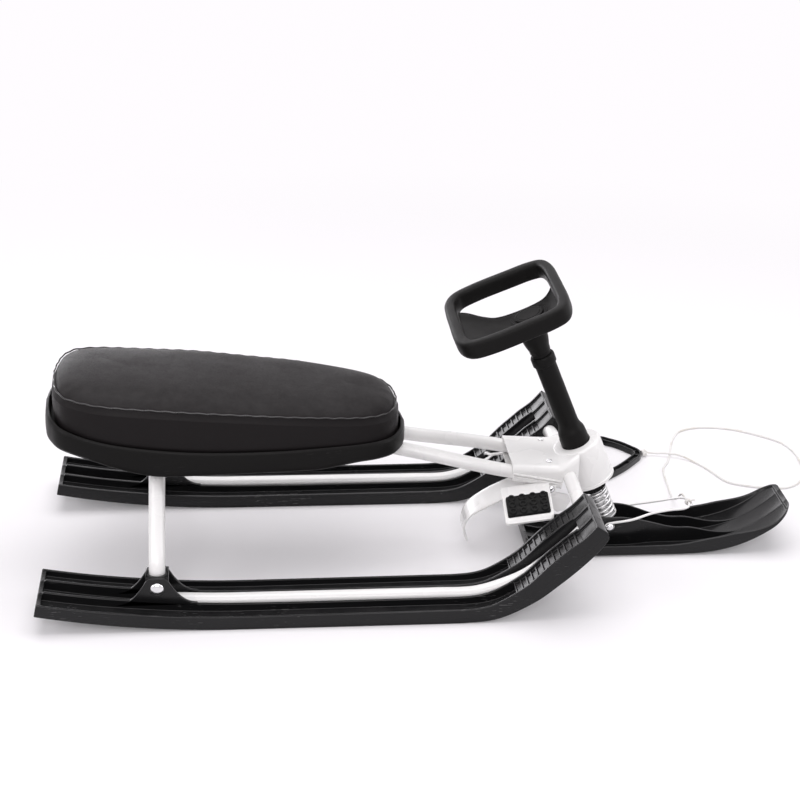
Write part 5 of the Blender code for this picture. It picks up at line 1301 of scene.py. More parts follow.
def leg_path(side):
    """Centre line of one half of the rear leg tube, from its foot in the boss to the sled's middle."""
    height = main_tube_height(LEG_X) - (MAIN_TUBE + LEG_TUBE) / 2 - TOUCH_GAP
    middle = side * TRACK / 2
    drop = Vector((LEG_X, middle, BOSS_BOLT_Z - 0.013))
    collar = Vector((LEG_X, middle, BOSS_HEIGHT + 0.011))
    top = Vector((LEG_X, side * LEG_TOP_Y, height - 0.018))
    knee = Vector((LEG_X, side * (LEG_TOP_Y - 0.022), height))
    lean = (top - collar).normalized()
    low = collar - Vector((0, 0, 0.010))
    points = [drop, low] + [bent(low, collar, collar + lean * 0.012, t) for t in np.linspace(0.15, 1.0, 6)]
    points += [collar.lerp(top, f) for f in (0.35, 0.6, 0.8, 0.92)]
    points += [bent(top, top + lean * 0.018, knee, t) for t in np.linspace(0.15, 1.0, 10)]
    return points + [Vector((LEG_X, side * LEG_TOP_Y * 0.4, height)), Vector((LEG_X, 0, height))]


class SLED_OT_tubes(bpy.types.Operator):
    """Make the hoop, the rear leg tube and the two main tubes"""
    bl_idname = "sled.tubes"
    bl_label = "Frame tubes"

    def execute(self, context):
        marks = np.linspace(MAIN_FRONT_X, MAIN_END_X, 150)
        tubes = [("hoop_tube", hoop_path(-1) + hoop_path(1)[-2::-1], HOOP_TUBE, "front_hoop"),
                 ("leg_tube", leg_path(-1) + leg_path(1)[-2::-1], LEG_TUBE, "rear_leg_frame")]
        for word, side in SIDES:
            path = [Vector((x, side * main_spacing(x), main_tube_height(x))) for x in marks]
            tubes.append((f"spine_tube_{word}", path, MAIN_TUBE, f"main_tube_{word}"))
        for name, path, tube, node in tubes:
            dress(linked(name, sweep(name, path, circle(tube / 2, 32))), "frame", "white_paint", node)
        return {"FINISHED"}


# Seat

def seat_swell(x):
    """Share of the swell along the seat's middle, where it keeps its width."""
    return ease(x, -0.52, -0.34) * (1 - ease(x, -0.22, -0.07))


def seat_outline(offset, count):
    """Closed plan outline of the seat, grown outward by the offset."""
    def place(f, w):
        x = toward(SEAT_REAR_X, SEAT_FRONT_X, f)
        return x, w * SEAT_HALF_WIDTH + SEAT_SWELL * seat_swell(x)
    loop = mirrored(SEAT_PLAN, count, place)
    sides = [outward(loop, i) for i in range(len(loop))]
    return [(x + side.x * offset, y + side.y * offset) for (x, y), side in zip(loop, sides)]


def seat_seam(x):
    """Height of the cushion's top seam."""
    return SEAM_HEIGHT - SEAM_FALL * x + SEAM_CURVE * x * x + SEAT_SWELL_RISE * seat_swell(x)


def drawn_in(outline, share):
    """The outline drawn towards the seat's spine, to this share of its size."""
    rear = SEAT_REAR_X + SEAT_HALF_WIDTH
    front = SEAT_FRONT_X - SEAT_HALF_WIDTH * 0.7
    points = []
    for x, y in outline:
        spine = min(max(x, rear), front)
        points.append((spine + (x - spine) * share, y * share))
    return points


def tray_rim(x):
    """Height of the tray's rim: lowest ahead of the middle, swept up to the rear."""
    sweep_up = TRAY_RIM_SWEEP * (max(-0.25 - x, 0) / 0.32) ** 2.33
    return (TRAY_RIM_LOW + sweep_up + 0.0022 * ease(x, -0.24, -0.10)
            + SEAT_SWELL_RISE * seat_swell(x))


def tray_foot(x):
    """Height of the tray's lower edge: flat, swept up at the rear and a little at the front."""
    return (TRAY_FOOT_LOW + TRAY_FOOT_SWEEP * ease(-x, 0.400, 0.585) + 0.008 * ease(x, -0.18, -0.10)
            + SEAT_SWELL_RISE * seat_swell(x))


def tray_channel(x):
    """Floor of the channel round the deck, where the cushion's skirt sits."""
    return min(tray_deck(x), tray_rim(x) - 0.006)


def tray_flare(x):
    """How far the tray's side stands out beyond its middle, at both ends."""
    return TRAY_FLARE * ease(-x, 0.500, 0.575) + 0.0045 * ease(x, -0.115, -0.050)


def cushion_form(name):
    """The cushion from its base up: skirt, straight side, bevelled band, welt line and crowned top."""
    count = 72

    def ring(offset, height, rise=0.0):
        return [Vector((x, y, height(x) + rise)) for x, y in seat_outline(offset, count)]

    def wall(x):
        return toward(tray_channel(x) + SKIRT_UP, seat_seam(x) - BAND_DROP, share)
    rings = [ring(*row) for row in (
        (-0.012, tray_deck, 0.0008), (-0.0050, tray_deck, 0.0006), (-0.0045, tray_channel, 0.0016),
        (-0.001, tray_channel, 0.0010), (0.0030, tray_channel, 0.0018), (SKIRT_OUT, tray_channel, SKIRT_UP))]
    for share in np.linspace(0.10, 0.96, 9):
        rings.append(ring(SKIRT_OUT + 0.0012 * math.sin(math.pi * share) + 0.0004 * share, wall))
    for offset, drop in ((0.0048, BAND_DROP + 0.0008), (0.0046, BAND_DROP), (0.0041, BAND_DROP - 0.0008),
                         (0.0026, 0.0075), (0.0014, 0.0048), (0.0006, 0.0024), (-0.0002, 0.0006)):
        rings.append(ring(offset, seat_seam, -drop))
    seam = seat_outline(-0.0004, count)
    for share in CROWN_SHARES:
        crown = CUSHION_CROWN * (1 - share ** 7) ** 0.72
        rings.append([Vector((x, y, seat_seam(x) + crown)) for x, y in drawn_in(seam, share)])
    # The last ring lies on the seat's spine: its two halves are joined there instead of capped
    form = bmesh.new()
    form.from_mesh(loft(rings, name))
    form.faces.ensure_lookup_table()
    caps = [face for face in form.faces if len(face.verts) > 8]
    bmesh.ops.delete(form, geom=[max(caps, key=lambda cap: cap.verts[0].co.z)], context="FACES_ONLY")
    bmesh.ops.remove_doubles(form, verts=form.verts, dist=0.00002)
    return bm_to_mesh(form, name)


def blown_up(obj, cap):
    """The closed form filled like a stuffed cover: cloth with pressure, each point held to the cap."""
    scene = bpy.context.scene
    rest = np.array([v.co for v in obj.data.vertices])
    cloth = obj.modifiers.new("cover", "CLOTH")
    set_all(cloth.settings, quality=6, mass=0.25, tension_stiffness=22, compression_stiffness=22, shear_stiffness=12,
            bending_stiffness=1.2, use_pressure=True, uniform_pressure_force=FILL_PRESSURE)
    cloth.settings.effector_weights.gravity = 0
    cloth.collision_settings.use_collision = False
    set_all(cloth.point_cache, frame_start=1, frame_end=FILL_FRAMES)
    for step in range(1, FILL_FRAMES + 1):
        scene.frame_set(step)
    applied(obj)
    scene.frame_set(1)
    moved = np.array([v.co for v in obj.data.vertices]) - rest
    reach = np.linalg.norm(moved, axis=1)
    moved *= np.minimum(1.0, cap / np.maximum(reach, 1e-9))[:, None]
    # The skirt is held by the tray, and the welt holds the top's edge
    for i, (x, y, z) in enumerate(rest):
        seam = seat_seam(x)
        clear = ease(z, tray_rim(x) + 0.002, tray_rim(x) + 0.016)
        side = 0.35 * clear * (1 - ease(z, seam - 0.020, seam - BAND_DROP))
        moved[i] *= max(side, ease(z, seam + 0.0015, seam + 0.007))
    ends = np.array([e.vertices[:] for e in obj.data.edges])
    degree = np.bincount(ends.ravel(), minlength=len(rest))[:, None]
    for _ in range(FILL_SMOOTHING):
        total = np.zeros_like(moved)
        np.add.at(total, ends[:, 0], moved[ends[:, 1]])
        np.add.at(total, ends[:, 1], moved[ends[:, 0]])
        moved = 0.5 * moved + 0.5 * total / np.maximum(degree, 1)
    obj.data.vertices.foreach_set("co", (rest + moved).ravel())
    obj.data.update()


def welt_line():
    """Line of the welt round the cushion's seam, puckered by its stitches."""
    outline = seat_outline(0.0012, 260)
    line = []
    run = 0.0
    for i, (x, y) in enumerate(outline):
        run += math.dist((x, y), outline[i - 1])
        line.append(Vector((x, y, seat_seam(x) + 0.0006 + PUCKER * math.sin(2 * math.pi * run / PUCKER_PITCH))))
    return line


def tray_form(name):
    """The seat base from its deck over the rim and down to its foot, then back up inside."""
    inner = TRAY_RIM_OUT - TRAY_WALL
    rim = TRAY_RIM_OUT
    foot = TRAY_RIM_OUT - 0.0044
    under = -TRAY_DECK - 0.0004

    def ring(offset, height, rise=0.0, flare=1.0):
        points = []
        for (x, y), (u, v) in zip(seat_outline(offset, 90), seat_outline(offset + TRAY_FLARE, 90)):
            share = flare * tray_flare(x) / TRAY_FLARE
            points.append(Vector((toward(x, u, share), toward(y, v, share), height(x) + rise)))
        return points

    def side(x):
        return toward(tray_rim(x), tray_foot(x), share)
    rings = [ring(*row) for row in (
        (-0.0080, tray_deck, 0, 0), (-0.0068, tray_deck, -0.0002, 0), (-0.0062, tray_channel, -0.0004, 0),
        (inner - 0.0008, tray_channel, -0.0004, 0.2), (inner - 0.0004, tray_rim, -0.0014, 0.35),
        (inner + 0.0002, tray_rim, -0.0003, 0.4), (inner + 0.0010, tray_rim, 0, 0.45),
        (rim - 0.0020, tray_rim, -0.0004, 0.5), (rim - 0.0010, tray_rim, -0.0014, 0.55),
        (rim - 0.0003, tray_rim, -0.0030, 0.6))]
    for share in (0.14, 0.3, 0.5, 0.7, 0.86):
        bulge = 0.0008 * math.sin(math.pi * share)
        rings.append(ring(rim + bulge, side, 0, 0.6 + 0.4 * math.sin(math.pi / 2 * share)))
    rings += [ring(*row) for row in (
        (rim - 0.0010, tray_foot, 0.0028), (rim - 0.0020, tray_foot, 0.0012), (rim - 0.0034, tray_foot, 0.0003),
        (foot, tray_foot), (foot - TRAY_WALL, tray_foot), (inner - 0.0006, tray_channel, under, 0.2),
        (-0.0105, tray_channel, under, 0), (-0.0112, tray_deck, -TRAY_DECK, 0))]
    return loft(rings, name)


class SLED_OT_seat(bpy.types.Operator):
    """Make the stuffed vinyl cushion with its piping and seams, and the moulded seat base"""
    bl_idname = "sled.seat"
    bl_label = "Seat"

    def execute(self, context):
        sizes = context.scene.sled_sizes
        cushion = linked("cushion", cushion_form("cushion"))
        blown_up(cushion, sizes.plump)
        set_all(cushion.modifiers.new("fine", "SUBSURF"), levels=1, render_levels=1)
        dress(applied(cushion), "frame", "black_vinyl", "seat_cushion", angle=180)
        welt = sweep("piping", welt_line(), circle(sizes.piping / 2, 12), closed=True, up=(0, 0, 1))
        dress(linked("cushion_piping", welt), "frame", "black_vinyl", angle=60,
              mat=gloss_cord(context.scene.sled_colours.vinyl))
        tray = linked("seat_base", tray_form("seat_base"))
        half = MAIN_TUBE / 2 + 0.001
        rear = SEAT_FRONT_X - NOTCH_BACK
        front = SEAT_FRONT_X + NOTCH_FRONT
        outline = box_outline((rear + front) / 2, TRAY_BOTTOM_Z - 0.02, main_tube_height(rear) + half,
                              (front - rear) / 2)
        for side in (-1, 1):
            y = side * main_spacing(SEAT_FRONT_X)
            boolean(tray, prism("notch", outline, y - half, y + half))
        dress(tray, "frame", "satin_plastic", "seat_tray", angle=30)
        return {"FINISHED"}


# Steering head, column and wheel

def cover_top(x):
    """Height of the upper cover: level over the tubes, rising to the collar's top."""
    rear = main_tube_height(COVER_REAR_X) + 0.0155
    collar_rear = on_axis(COLLAR_TOP).z - COLLAR_RADIUS * math.sin(RAKE)
    return rear + (collar_rear - rear) * ease(x, COVER_REAR_X, 0.21) + 0.42 * max(x - 0.214, 0)


def head_width(x):
    return main_spacing(x) + MAIN_TUBE / 2 + TOUCH_GAP


def cover_solid(name, grow, rear, low):
    """The cover's body over the tubes: rounded across, from the seam up."""
    rings = []
    for x in np.linspace(rear, COVER_FRONT_X, 40):
        half = (head_width(x) + grow) * (1 - 0.30 * ease(x, MAIN_FRONT_X + 0.003, COVER_FRONT_X + 0.02))
        seam = main_tube_height(x) + low
        top = cover_top(x) - COVER_SHEET + grow
        bend = min(0.012, (top - seam) * 0.7)
        ring = [Vector((x, half, seam))]
        for k in range(11):
            angle = math.pi / 2 * k / 10
            ring.append(Vector((x, half - bend + bend * math.cos(angle), top - bend + bend * math.sin(angle))))
        ring += [Vector((v.x, -v.y, v.z)) for v in ring[::-1]]
        rings.append(ring)
    return loft(rings, name)


def upper_cover():
    """Pressed upper cover with its collar, hollow below and cut away round the hoop."""
    cover = linked("head_cover", cover_solid("head_cover", COVER_SHEET, COVER_REAR_X, TOUCH_GAP))
    high = COLLAR_TOP - COLLAR_BOTTOM
    wide = COLLAR_RADIUS
    collar = turned("collar", [(0, 0), (wide + 0.0012, 0), (wide + 0.0012, 0.004), (wide, 0.005), (wide, high - 0.004),
                               (wide - 0.001, high - 0.0018), (wide - 0.0025, high - 0.0004), (wide - 0.004, high),
                               (0, high)], 72)
    boolean(cover, collar, "UNION", axis_frame(COLLAR_BOTTOM))
    boolean(cover, cover_solid("hollow", 0.0, COVER_REAR_X - 0.01, -0.02))
    inside = wide - COVER_SHEET
    roof = high - COVER_SHEET
    bore = turned("bore", [(0, -0.01), (inside, -0.01), (inside, roof - 0.004), (inside - 0.003, roof), (0, roof)], 72)
    boolean(cover, bore, matrix=axis_frame(COLLAR_BOTTOM))
    mouth = turned("mouth", bore_profile(BOOT_RADIUS + BOOT_PLAY, -0.02, 0.02))
    boolean(cover, mouth, matrix=axis_frame(COLLAR_TOP))
    radius = HOOP_TUBE / 2 + RUNNING_GAP
    arch = prism("arch", circle(radius, 32), -0.1, 0.1)
    boolean(cover, arch, matrix=Matrix.Translation((CROSS_X, 0, CROSS_Z)))
    boolean(cover, prism("slot", box_outline(CROSS_X, CROSS_Z - 0.06, CROSS_Z, radius), -0.1, 0.1))
    return cover


def flange(side, low, high, out):
    """Rolled edge along one side of the head, where the two covers meet."""
    middle = (low + high) / 2
    points = [Vector((x, side * (head_width(x) + COVER_SHEET - 0.0004), main_tube_height(x) + middle))
              for x in np.linspace(COVER_REAR_X + 0.001, MAIN_FRONT_X + 0.003, 30)]
    half = (high - low) / 2
    tip = out - 0.0004
    section = [(-0.0010, -half), (tip, -half), (out, -half + 0.0004), (out, half - 0.0004), (tip, half),
               (-0.0010, half)]
    if side > 0:
        section = [(-a, b) for a, b in section]
    return sweep("flange", points, section, up=(0, 0, 1))


def lower_cover():
    """Shallow pressed pan that closes the head from below."""
    rings = []
    wall = COVER_SHEET
    for x in np.linspace(COVER_REAR_X, CROSS_X - HOOP_TUBE / 2 - 0.002, 24):
        half = head_width(x)
        seam = main_tube_height(x) - TOUCH_GAP
        low = seam - MAIN_TUBE / 2 - TOUCH_GAP * 2
        bend = 0.008
        inside = [(half, seam)]
        outside = [(half + wall, seam)]
        for k in range(9):
            angle = math.pi / 2 * k / 8
            across = half - bend + bend * math.cos(angle)
            down = low + bend - bend * math.sin(angle)
            inside.append((across, down))
            outside.append((across + wall * math.cos(angle), down - wall * math.sin(angle)))
        inside += [(-y, z) for y, z in inside[::-1]]
        outside += [(-y, z) for y, z in outside[::-1]]
        rings.append([Vector((x, y, z)) for y, z in outside + inside[::-1]])
    return loft(rings, "head_pan")


def screw_form(name, head, thick, bore, long):
    """Pan-head screw with a cross recess, its head's seat at the origin."""
    profile = [(0, thick), (head * 0.35, thick * 0.98), (head * 0.62, thick * 0.90), (head * 0.84, thick * 0.68),
               (head * 0.96, thick * 0.38), (head, thick * 0.12), (head, 0), (bore, 0), (bore, -long), (0, -long)]
    screw = linked(name, turned(name, profile, 32))
    arm = box_outline(0, -head * 0.12, head * 0.12, head * 0.55)
    for turn in (0, math.pi / 2):
        rings = [[Vector((a * s, b * s, z)) for a, b in arm] for s, z in ((0.5, thick * 0.25), (1.0, thick * 1.2))]
        boolean(screw, loft(rings, "recess"), matrix=Matrix.Rotation(turn + 0.5, 4, "Z"))
    return screw


class SLED_OT_head(bpy.types.Operator):
    """Make the two covers of the steering head with their flanges and screws"""
    bl_idname = "sled.head"
    bl_label = "Steering head"

    def execute(self, context):
        edge = context.scene.sled_sizes.sheet_edge
        for name, mesh, low, node in (("head_cover", taken(upper_cover()), FLANGE_GAP, "head_upper_cover"),
                                      ("head_pan", lower_cover(), -FLANGE_GAP - FLANGE_THICK, "head_lower_cover")):
            lips = [flange(side, low, low + FLANGE_THICK, 0.0026) for side in (-1, 1)]
            cover = linked(name, merged(name, [edged(mesh, edge, 50)] + lips))
            dress(cover, "frame", "white_paint", node, angle=32)
        top = cover_top(COVER_SCREW_X) + 2 * TOUCH_GAP
        for word, side in SIDES:
            screw = screw_form(f"head_screw_{word}", 0.0048, 0.003, 0.002, 0.0045)
            screw.matrix_world = Matrix.Translation((COVER_SCREW_X, side * COVER_SCREW_Y, top))
            dress(screw, "frame", "chrome", f"cover_screw_{word}", angle=30)
        return {"FINISHED"}


def wheel_rim():
    """Deep rounded rim with a moulded parting line round its outside."""
    rear = WHEEL_REAR - WHEEL_RIM_WIDTH / 2
    front = WHEEL_FRONT - WHEEL_RIM_WIDTH / 2
    out = (WHEEL_WIDTH - WHEEL_RIM_WIDTH) / 2
    route = mirrored(RIM_ROUTE, 80, lambda f, w: (f * (rear if f < 0 else front), w * out))
    section = []
    for k, (a, b) in enumerate(circle(1, 40)):
        across = WHEEL_RIM_WIDTH / 2 * math.copysign(abs(a) ** 0.50, a)
        up = WHEEL_TOP - WHEEL_RIM_DEPTH / 2 * (1 - math.copysign(abs(b) ** 0.60, b))
        section.append((across * (0.975 if k in (0, 20) else 1), up))
    rings = []
    for i, point in enumerate(route):
        side = outward(route, i)
        rings.append([Vector((*(Vector(point) + side * s), up)) for s, up in section])
    return loft(rings, "wheel_rim", closed=True)


def spoke_plate():
    """Dished plate from the rear of the rim through the hub to its front, with raised edges."""
    rear = -(WHEEL_REAR - WHEEL_RIM_WIDTH / 2)
    front = WHEEL_FRONT - WHEEL_RIM_WIDTH / 2
    rim_low = WHEEL_TOP - WHEEL_RIM_DEPTH + 0.004
    sheet = 0.006
    steps = ((rear, 0.072, rim_low + 0.002), (rear + 0.022, 0.064, rim_low - 0.005),
             (rear + 0.045, 0.046, WHEEL_HUB + sheet), (rear + 0.066, 0.036, WHEEL_HUB),
             (front - 0.030, 0.036, WHEEL_HUB), (front - 0.015, 0.040, WHEEL_HUB + sheet),
             (front, 0.046, rim_low + 0.001))
    rings = []
    for t in np.linspace(0, 1, 70):
        a, w, s = smooth(steps, t)
        lip = s + sheet + 0.0010
        flat = s + sheet - 0.0006
        outline = [(-w, s), (w, s), (w * 0.985, lip), (w * 0.955, lip)]
        outline += [(w * (0.915 - 1.83 * k / 10), flat) for k in range(11)]
        outline += [(-w * 0.955, lip), (-w * 0.985, lip)]
        rings.append([Vector((a, b, up)) for b, up in outline])
    return loft(rings, "spoke_plate")


def wheel_form():
    """The wheel: rim, dished spoke plate, flared neck below it and hub above."""
    wide = SLEEVE_RADIUS
    top = WHEEL_HUB + 0.003
    neck = [(0, NECK_LOW), (wide - 0.0012, NECK_LOW), (wide - 0.0012, 0.3705), (wide - 0.0006, 0.3712),
            (wide - 0.0002, 0.3725), (wide, 0.378), (0.0192, 0.386), (0.0205, 0.392), (0.0213, 0.398),
            (0.022, 0.404), (0.0228, 0.412), (0.0245, 0.420), (0.0290, 0.4260), (0.0355, 0.4300), (0.038, top),
            (0, top)]
    hub = [(0, 0.004), (0.0310, 0.004), (0.0310, 0.0068), (0.0296, 0.0078), (0.0284, 0.0068), (0, 0.0068)]
    lifted = Matrix.Translation((HUB_AHEAD, 0, WHEEL_HUB - 0.0012))
    return merged("wheel", [wheel_rim(), turned("neck", neck, 56), shifted(turned("hub", hub, 56), lifted),
                            edged(spoke_plate(), 0.0008)])


def sleeve_form(low):
    """The column's sleeve with its wide boot, from the boot's foot, and a ring moulded on the boot's side."""
    bore = SHAFT_RADIUS + TOUCH_GAP
    rise = SLEEVE_TOP - low
    boot = [(0.001, 0), (0.0002, 0.0006), (0, 0.0018), (0.0004, 0.012), (0.0011, 0.0285), (0.0016, 0.0318),
            (0.0026, 0.0348), (0.0038, 0.0372), (0.0052, 0.0412)]
    collar = [(0, 0.0172), (0.0006, 0.0166), (0.0021, 0.0158), (0.0025, 0.0150), (0.0025, 0.0026), (0.0021, 0.0016),
              (0.001, 0)]
    profile = [(bore, 0)] + [(BOOT_RADIUS - drawn, z) for drawn, z in boot]
    profile += [(SLEEVE_RADIUS + 0.0002, 0.0465), (SLEEVE_RADIUS, 0.0500)]
    profile += [(SLEEVE_RADIUS + out, rise - drop) for out, drop in collar] + [(bore, rise)]
    parts = [turned("sleeve", profile, 56)]
    reach = BOOT_RADIUS - 0.0006
    for turn in (-1, 1):
        points = []
        for share in [k / 14 * 2 - 1 for k in range(15)]:
            angle = math.pi * 0.86 + 0.55 * share
            height = 0.0155 + turn * 0.0065 * math.sqrt(max(1 - share * share, 0))
            points.append(Vector((reach * math.cos(angle), reach * math.sin(angle), height)))
        parts.append(sweep("ring_line", points, circle(0.0006, 8)))
    return merged("column_cover", parts)


def collar_form():
    """Toothed rubber ring under the head, with a cup round the end of the head tube."""
    bore = SHAFT_RADIUS + TOUCH_GAP
    out = SPRING_RADIUS + SPRING_WIRE / 2 + 0.0002
    cup = HEAD_TUBE_RADIUS + 0.0008
    rows = []
    for radius, z, bite in ((bore, 0, 0), (out - 0.002, 0, 0), (out, 0.002, TOOTH), (out, RING_CUP - 0.0015, TOOTH),
                            (out - 0.0010, RING_CUP, 0), (cup, RING_CUP, 0), (cup, 0.0080, 0), (bore, 0.0080, 0)):
        reach = [radius - (bite if k % 4 in (0, 1) else 0) for k in range(TEETH * 4)]
        rows.append([Vector((a * r, b * r, z)) for r, (a, b) in zip(reach, circle(1, TEETH * 4))])
    return loft(rows, "spring_collar", closed=True)


def spring_line():
    """Line of the coil spring, with its last turn at each end wound close."""
    low = SPRING_LOW + SPRING_WIRE / 2
    high = SPRING_HIGH - SPRING_WIRE / 2
    end = SPRING_WIRE * 1.25
    count = int(SPRING_TURNS * 40)
    points = []
    for k in range(count + 1):
        turn = SPRING_TURNS * k / count
        height = float(np.interp(turn, (0, 1, SPRING_TURNS - 1, SPRING_TURNS), (low, low + end, high - end, high)))
        angle = 2 * math.pi * turn
        points.append(axis_frame(0) @ Vector((SPRING_RADIUS * math.cos(angle), SPRING_RADIUS * math.sin(angle),
                                              height)))
    return points


def stem_form():
    """The ski's sliding stem with the spring's seat, and the cross eye that the pivot bolt runs through."""
    seat = SPRING_LOW - 0.0004
    top = SPRING_HIGH + 0.065
    foot = [(0, -0.014), (0.0105, -0.014), (0.0125, -0.0108), (0.013, -0.0095)]
    flange = [(0.013, 0.0032), (0.0205, 0.0030), (0.0212, 0.0022), (0.0212, 0.0006), (0.0207, 0), (STEM_RADIUS, 0)]
    profile = [(r, PIVOT_UP + z) for r, z in foot] + [(r, seat - drop) for r, drop in flange]
    profile += [(STEM_RADIUS, top), (0, top)]
    wide = SKI_RIB_FLARE - 0.0006
    eye = [(0, -wide), (0.0085, -wide), (0.0095, -wide + 0.001), (0.0095, wide - 0.001), (0.0085, wide), (0, wide)]
    across = Matrix.Translation(on_axis(PIVOT_UP)) @ Matrix.Rotation(math.pi / 2, 4, "X")
    return merged("ski_post", [shifted(turned("stem", profile), axis_frame(0)),
                               shifted(turned("eye", eye, 40), across)])


class SLED_OT_steering(bpy.types.Operator):
    """Make the wheel, its plain cap, the column sleeve with its boot, the spring and the stem"""
    bl_idname = "sled.steering"
    bl_label = "Wheel and column"

    def execute(self, context):
        dress(linked("wheel", wheel_form(), axis_frame(0)), "steering", "satin_plastic", "steering_wheel", angle=38)
        cap = [(0, 0), (0.0236, 0), (0.024, 0.0004), (0.024, 0.0012), (0.0234, 0.0020), (0.0218, 0.0026),
               (0.0202, 0.0027), (0.0196, 0.0022), (0.0190, 0.0022), (0.0184, 0.0028), (0.012, 0.0032), (0, 0.0034)]
        on_hub = axis_frame(WHEEL_HUB + 0.0063) @ Matrix.Translation((HUB_AHEAD, 0, 0))
        badge = linked("wheel_cap", turned("wheel_cap", cap, 64), on_hub)
        dress(badge, "steering", "satin_plastic", "wheel_badge", angle=30)
        low = COLLAR_TOP - BOOT_SINK
        sleeve = linked("column_cover", sleeve_form(low), axis_frame(low))
        dress(sleeve, "steering", "satin_plastic", "column_sleeve", angle=32)
        ring = linked("spring_collar", collar_form(), axis_frame(SPRING_HIGH + 0.0013))
        dress(ring, "steering", "black_rubber", "spring_ring", angle=25)
        spring = linked("coil_spring", sweep("coil_spring", spring_line(), circle(SPRING_WIRE / 2, 14)))
        dress(spring, "steering", "zinc_steel", "suspension_spring", angle=60)
        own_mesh(spring)
        dress(linked("ski_post", stem_form()), "fork", "zinc_steel", "ski_stem", angle=30)
        return {"FINISHED"}


# Front ski, bail and brake

def ski_sole(x):
    """Height of the ski's sole: flat below the stem, lifted at the rear and swept up to the tip."""
    front = max(x - SKI_FLAT_END, 0) / (TIP_X - SKI_FLAT_END)
    rear = max(SKI_REAR_X + SKI_REAR_RUN - x, 0) / SKI_REAR_RUN
    return SKI_TIP_RISE * front ** SKI_TIP_POWER + SKI_REAR_RISE * rear ** 2


def ski_half_width(x):
    """Half width of the ski, with round corners at the tip and at the rear."""
    full = SKI_WIDTH / 2
    for end, radius in ((TIP_X, SKI_TIP_ROUND), (SKI_REAR_X, SKI_REAR_ROUND)):
        past = radius - abs(end - x)
        if past > 0:
            full = min(full, SKI_WIDTH / 2 - radius + math.sqrt(max(radius * radius - past * past, 0)))
    return full


def ski_rib(x):
    """Height of the two middle ribs above the sole: tall cheeks at the stem, fading to both ends."""
    pivot = on_axis(PIVOT_UP).x
    if x < pivot:
        return 0.012 + (SKI_RIB_HEIGHT - 0.012) * ease(x, SKI_REAR_X + 0.030, pivot - 0.012)
    low = SKI_RIB_HEIGHT - 0.024 * ease(x, pivot + 0.014, 0.430) - 0.006 * ease(x, 0.43, 0.50)
    return low - (low - SKI_FLOOR) * ease(x, 0.440, 0.545)


def ski_rib_inside(x):
    """Half the space between the ribs: wide round the stem and its spring seat, narrower ahead and behind."""
    pivot = on_axis(PIVOT_UP).x
    wide = ease(x, pivot - 0.090, pivot - 0.038) * (1 - ease(x, pivot + 0.030, pivot + 0.085))
    return SKI_RIB_INSIDE + (SKI_RIB_FLARE - SKI_RIB_INSIDE) * wide


def ski_rings():
    """Sections of the ski from its rear end to its tip, with rounded moulded corners."""
    marks = [SKI_REAR_X + s for s in (
        0, 0.0002, 0.0006, 0.0013, 0.0022, 0.0032, 0.0042, 0.0046, 0.0050, 0.0056, 0.0066)]
    marks += list(np.arange(SKI_REAR_X + 0.009, TIP_X - 0.036, 0.004))
    marks += list(np.arange(TIP_X - 0.036, TIP_X - 0.0075, 0.0016))
    marks += [TIP_X - s for s in (0.0074, 0.0068, 0.0062, 0.0057, 0.0050, 0.0038, 0.0027, 0.0017, 0.0009, 0.0003, 0)]
    rings = []
    for x in marks:
        sole = ski_sole(x)
        half = ski_half_width(x)
        bulge = ease(x, 0.40, 0.48) * (1 - ease(x, 0.50, TIP_X))
        fall = SKI_TIP_FALL * ease(x, 0.50, TIP_X - 0.02)
        rim = sole + SKI_RIM_HEIGHT + 0.008 * bulge - fall
        floor = sole + SKI_FLOOR
        rib = max(sole + ski_rib(x), floor + 0.0004)
        end = max(1 - ease(x, SKI_REAR_X + 0.0042, SKI_REAR_X + 0.0056), ease(x, TIP_X - 0.0068, TIP_X - 0.0056))
        floor = toward(floor, rim - 0.0004, end)
        rib = toward(rib, rim - 0.0002, end)
        inner = ski_rib_inside(x)
        outer = inner + SKI_RIB
        draw = end_draw(min(x - SKI_REAR_X, TIP_X - x), 0.0016)
        rim -= draw
        floor = min(floor, rim)
        rib = min(rib, rim) if end >= 1 else rib
        side = [(half, sole + 0.003 + draw), (half, rim), (half - SKI_RIM, rim), (half - SKI_RIM - 0.002, floor),
                (outer, floor), (outer - 0.0004, rib), (inner, rib), (inner, floor)]
        ring = [(half - 0.004, sole + draw)] + side
        outline = rounded(ring + [(-y, z) for y, z in ring[::-1]], 0.0013)
        rings.append([Vector((x, p.x, p.y)) for p in outline])
    return rings


def bail_path():
    """Centre line of the bent wire: an open eye on the pivot bolt, the loop and the other eye."""
    pivot = on_axis(PIVOT_UP)
    radius = PIVOT_BOLT / 2 + BAIL_WIRE / 2 + TOUCH_GAP

    def eye(side, tail):
        aim = math.atan2(tail[2] - pivot.z, tail[0] - pivot.x)
        angles = [aim + math.pi / 2 + 2 * math.pi * 0.76 * (1 - k / 32) for k in range(33)]
        return [Vector((pivot.x + radius * math.cos(angle), side * BAIL_Y, pivot.z + radius * math.sin(angle)))
                for angle in angles]
    near = eye(-1, BAIL_ROUTE[0])
    far = eye(1, BAIL_ROUTE[-1])
    lift = Vector((0.012, 0, 0.0042))
    route = [near[-1] + lift * 0.2] + [Vector(p) for p in BAIL_ROUTE] + [far[-1] + lift * 0.2]
    return near[:-1] + even_points(route, 130) + far[:-1][::-1]


class SLED_OT_ski(bpy.types.Operator):
    """Make the front ski and the wire bail"""
    bl_idname = "sled.ski"
    bl_label = "Front ski"

    def execute(self, context):
        dress(linked("ski", loft(ski_rings(), "ski")), "ski", "black_plastic", "front_ski", angle=34)
        bail = linked("bail_wire", sweep("bail_wire", bail_path(), circle(BAIL_WIRE / 2, 16)))
        dress(bail, "bail", "white_paint", "tow_bail", angle=60)
        return {"FINISHED"}


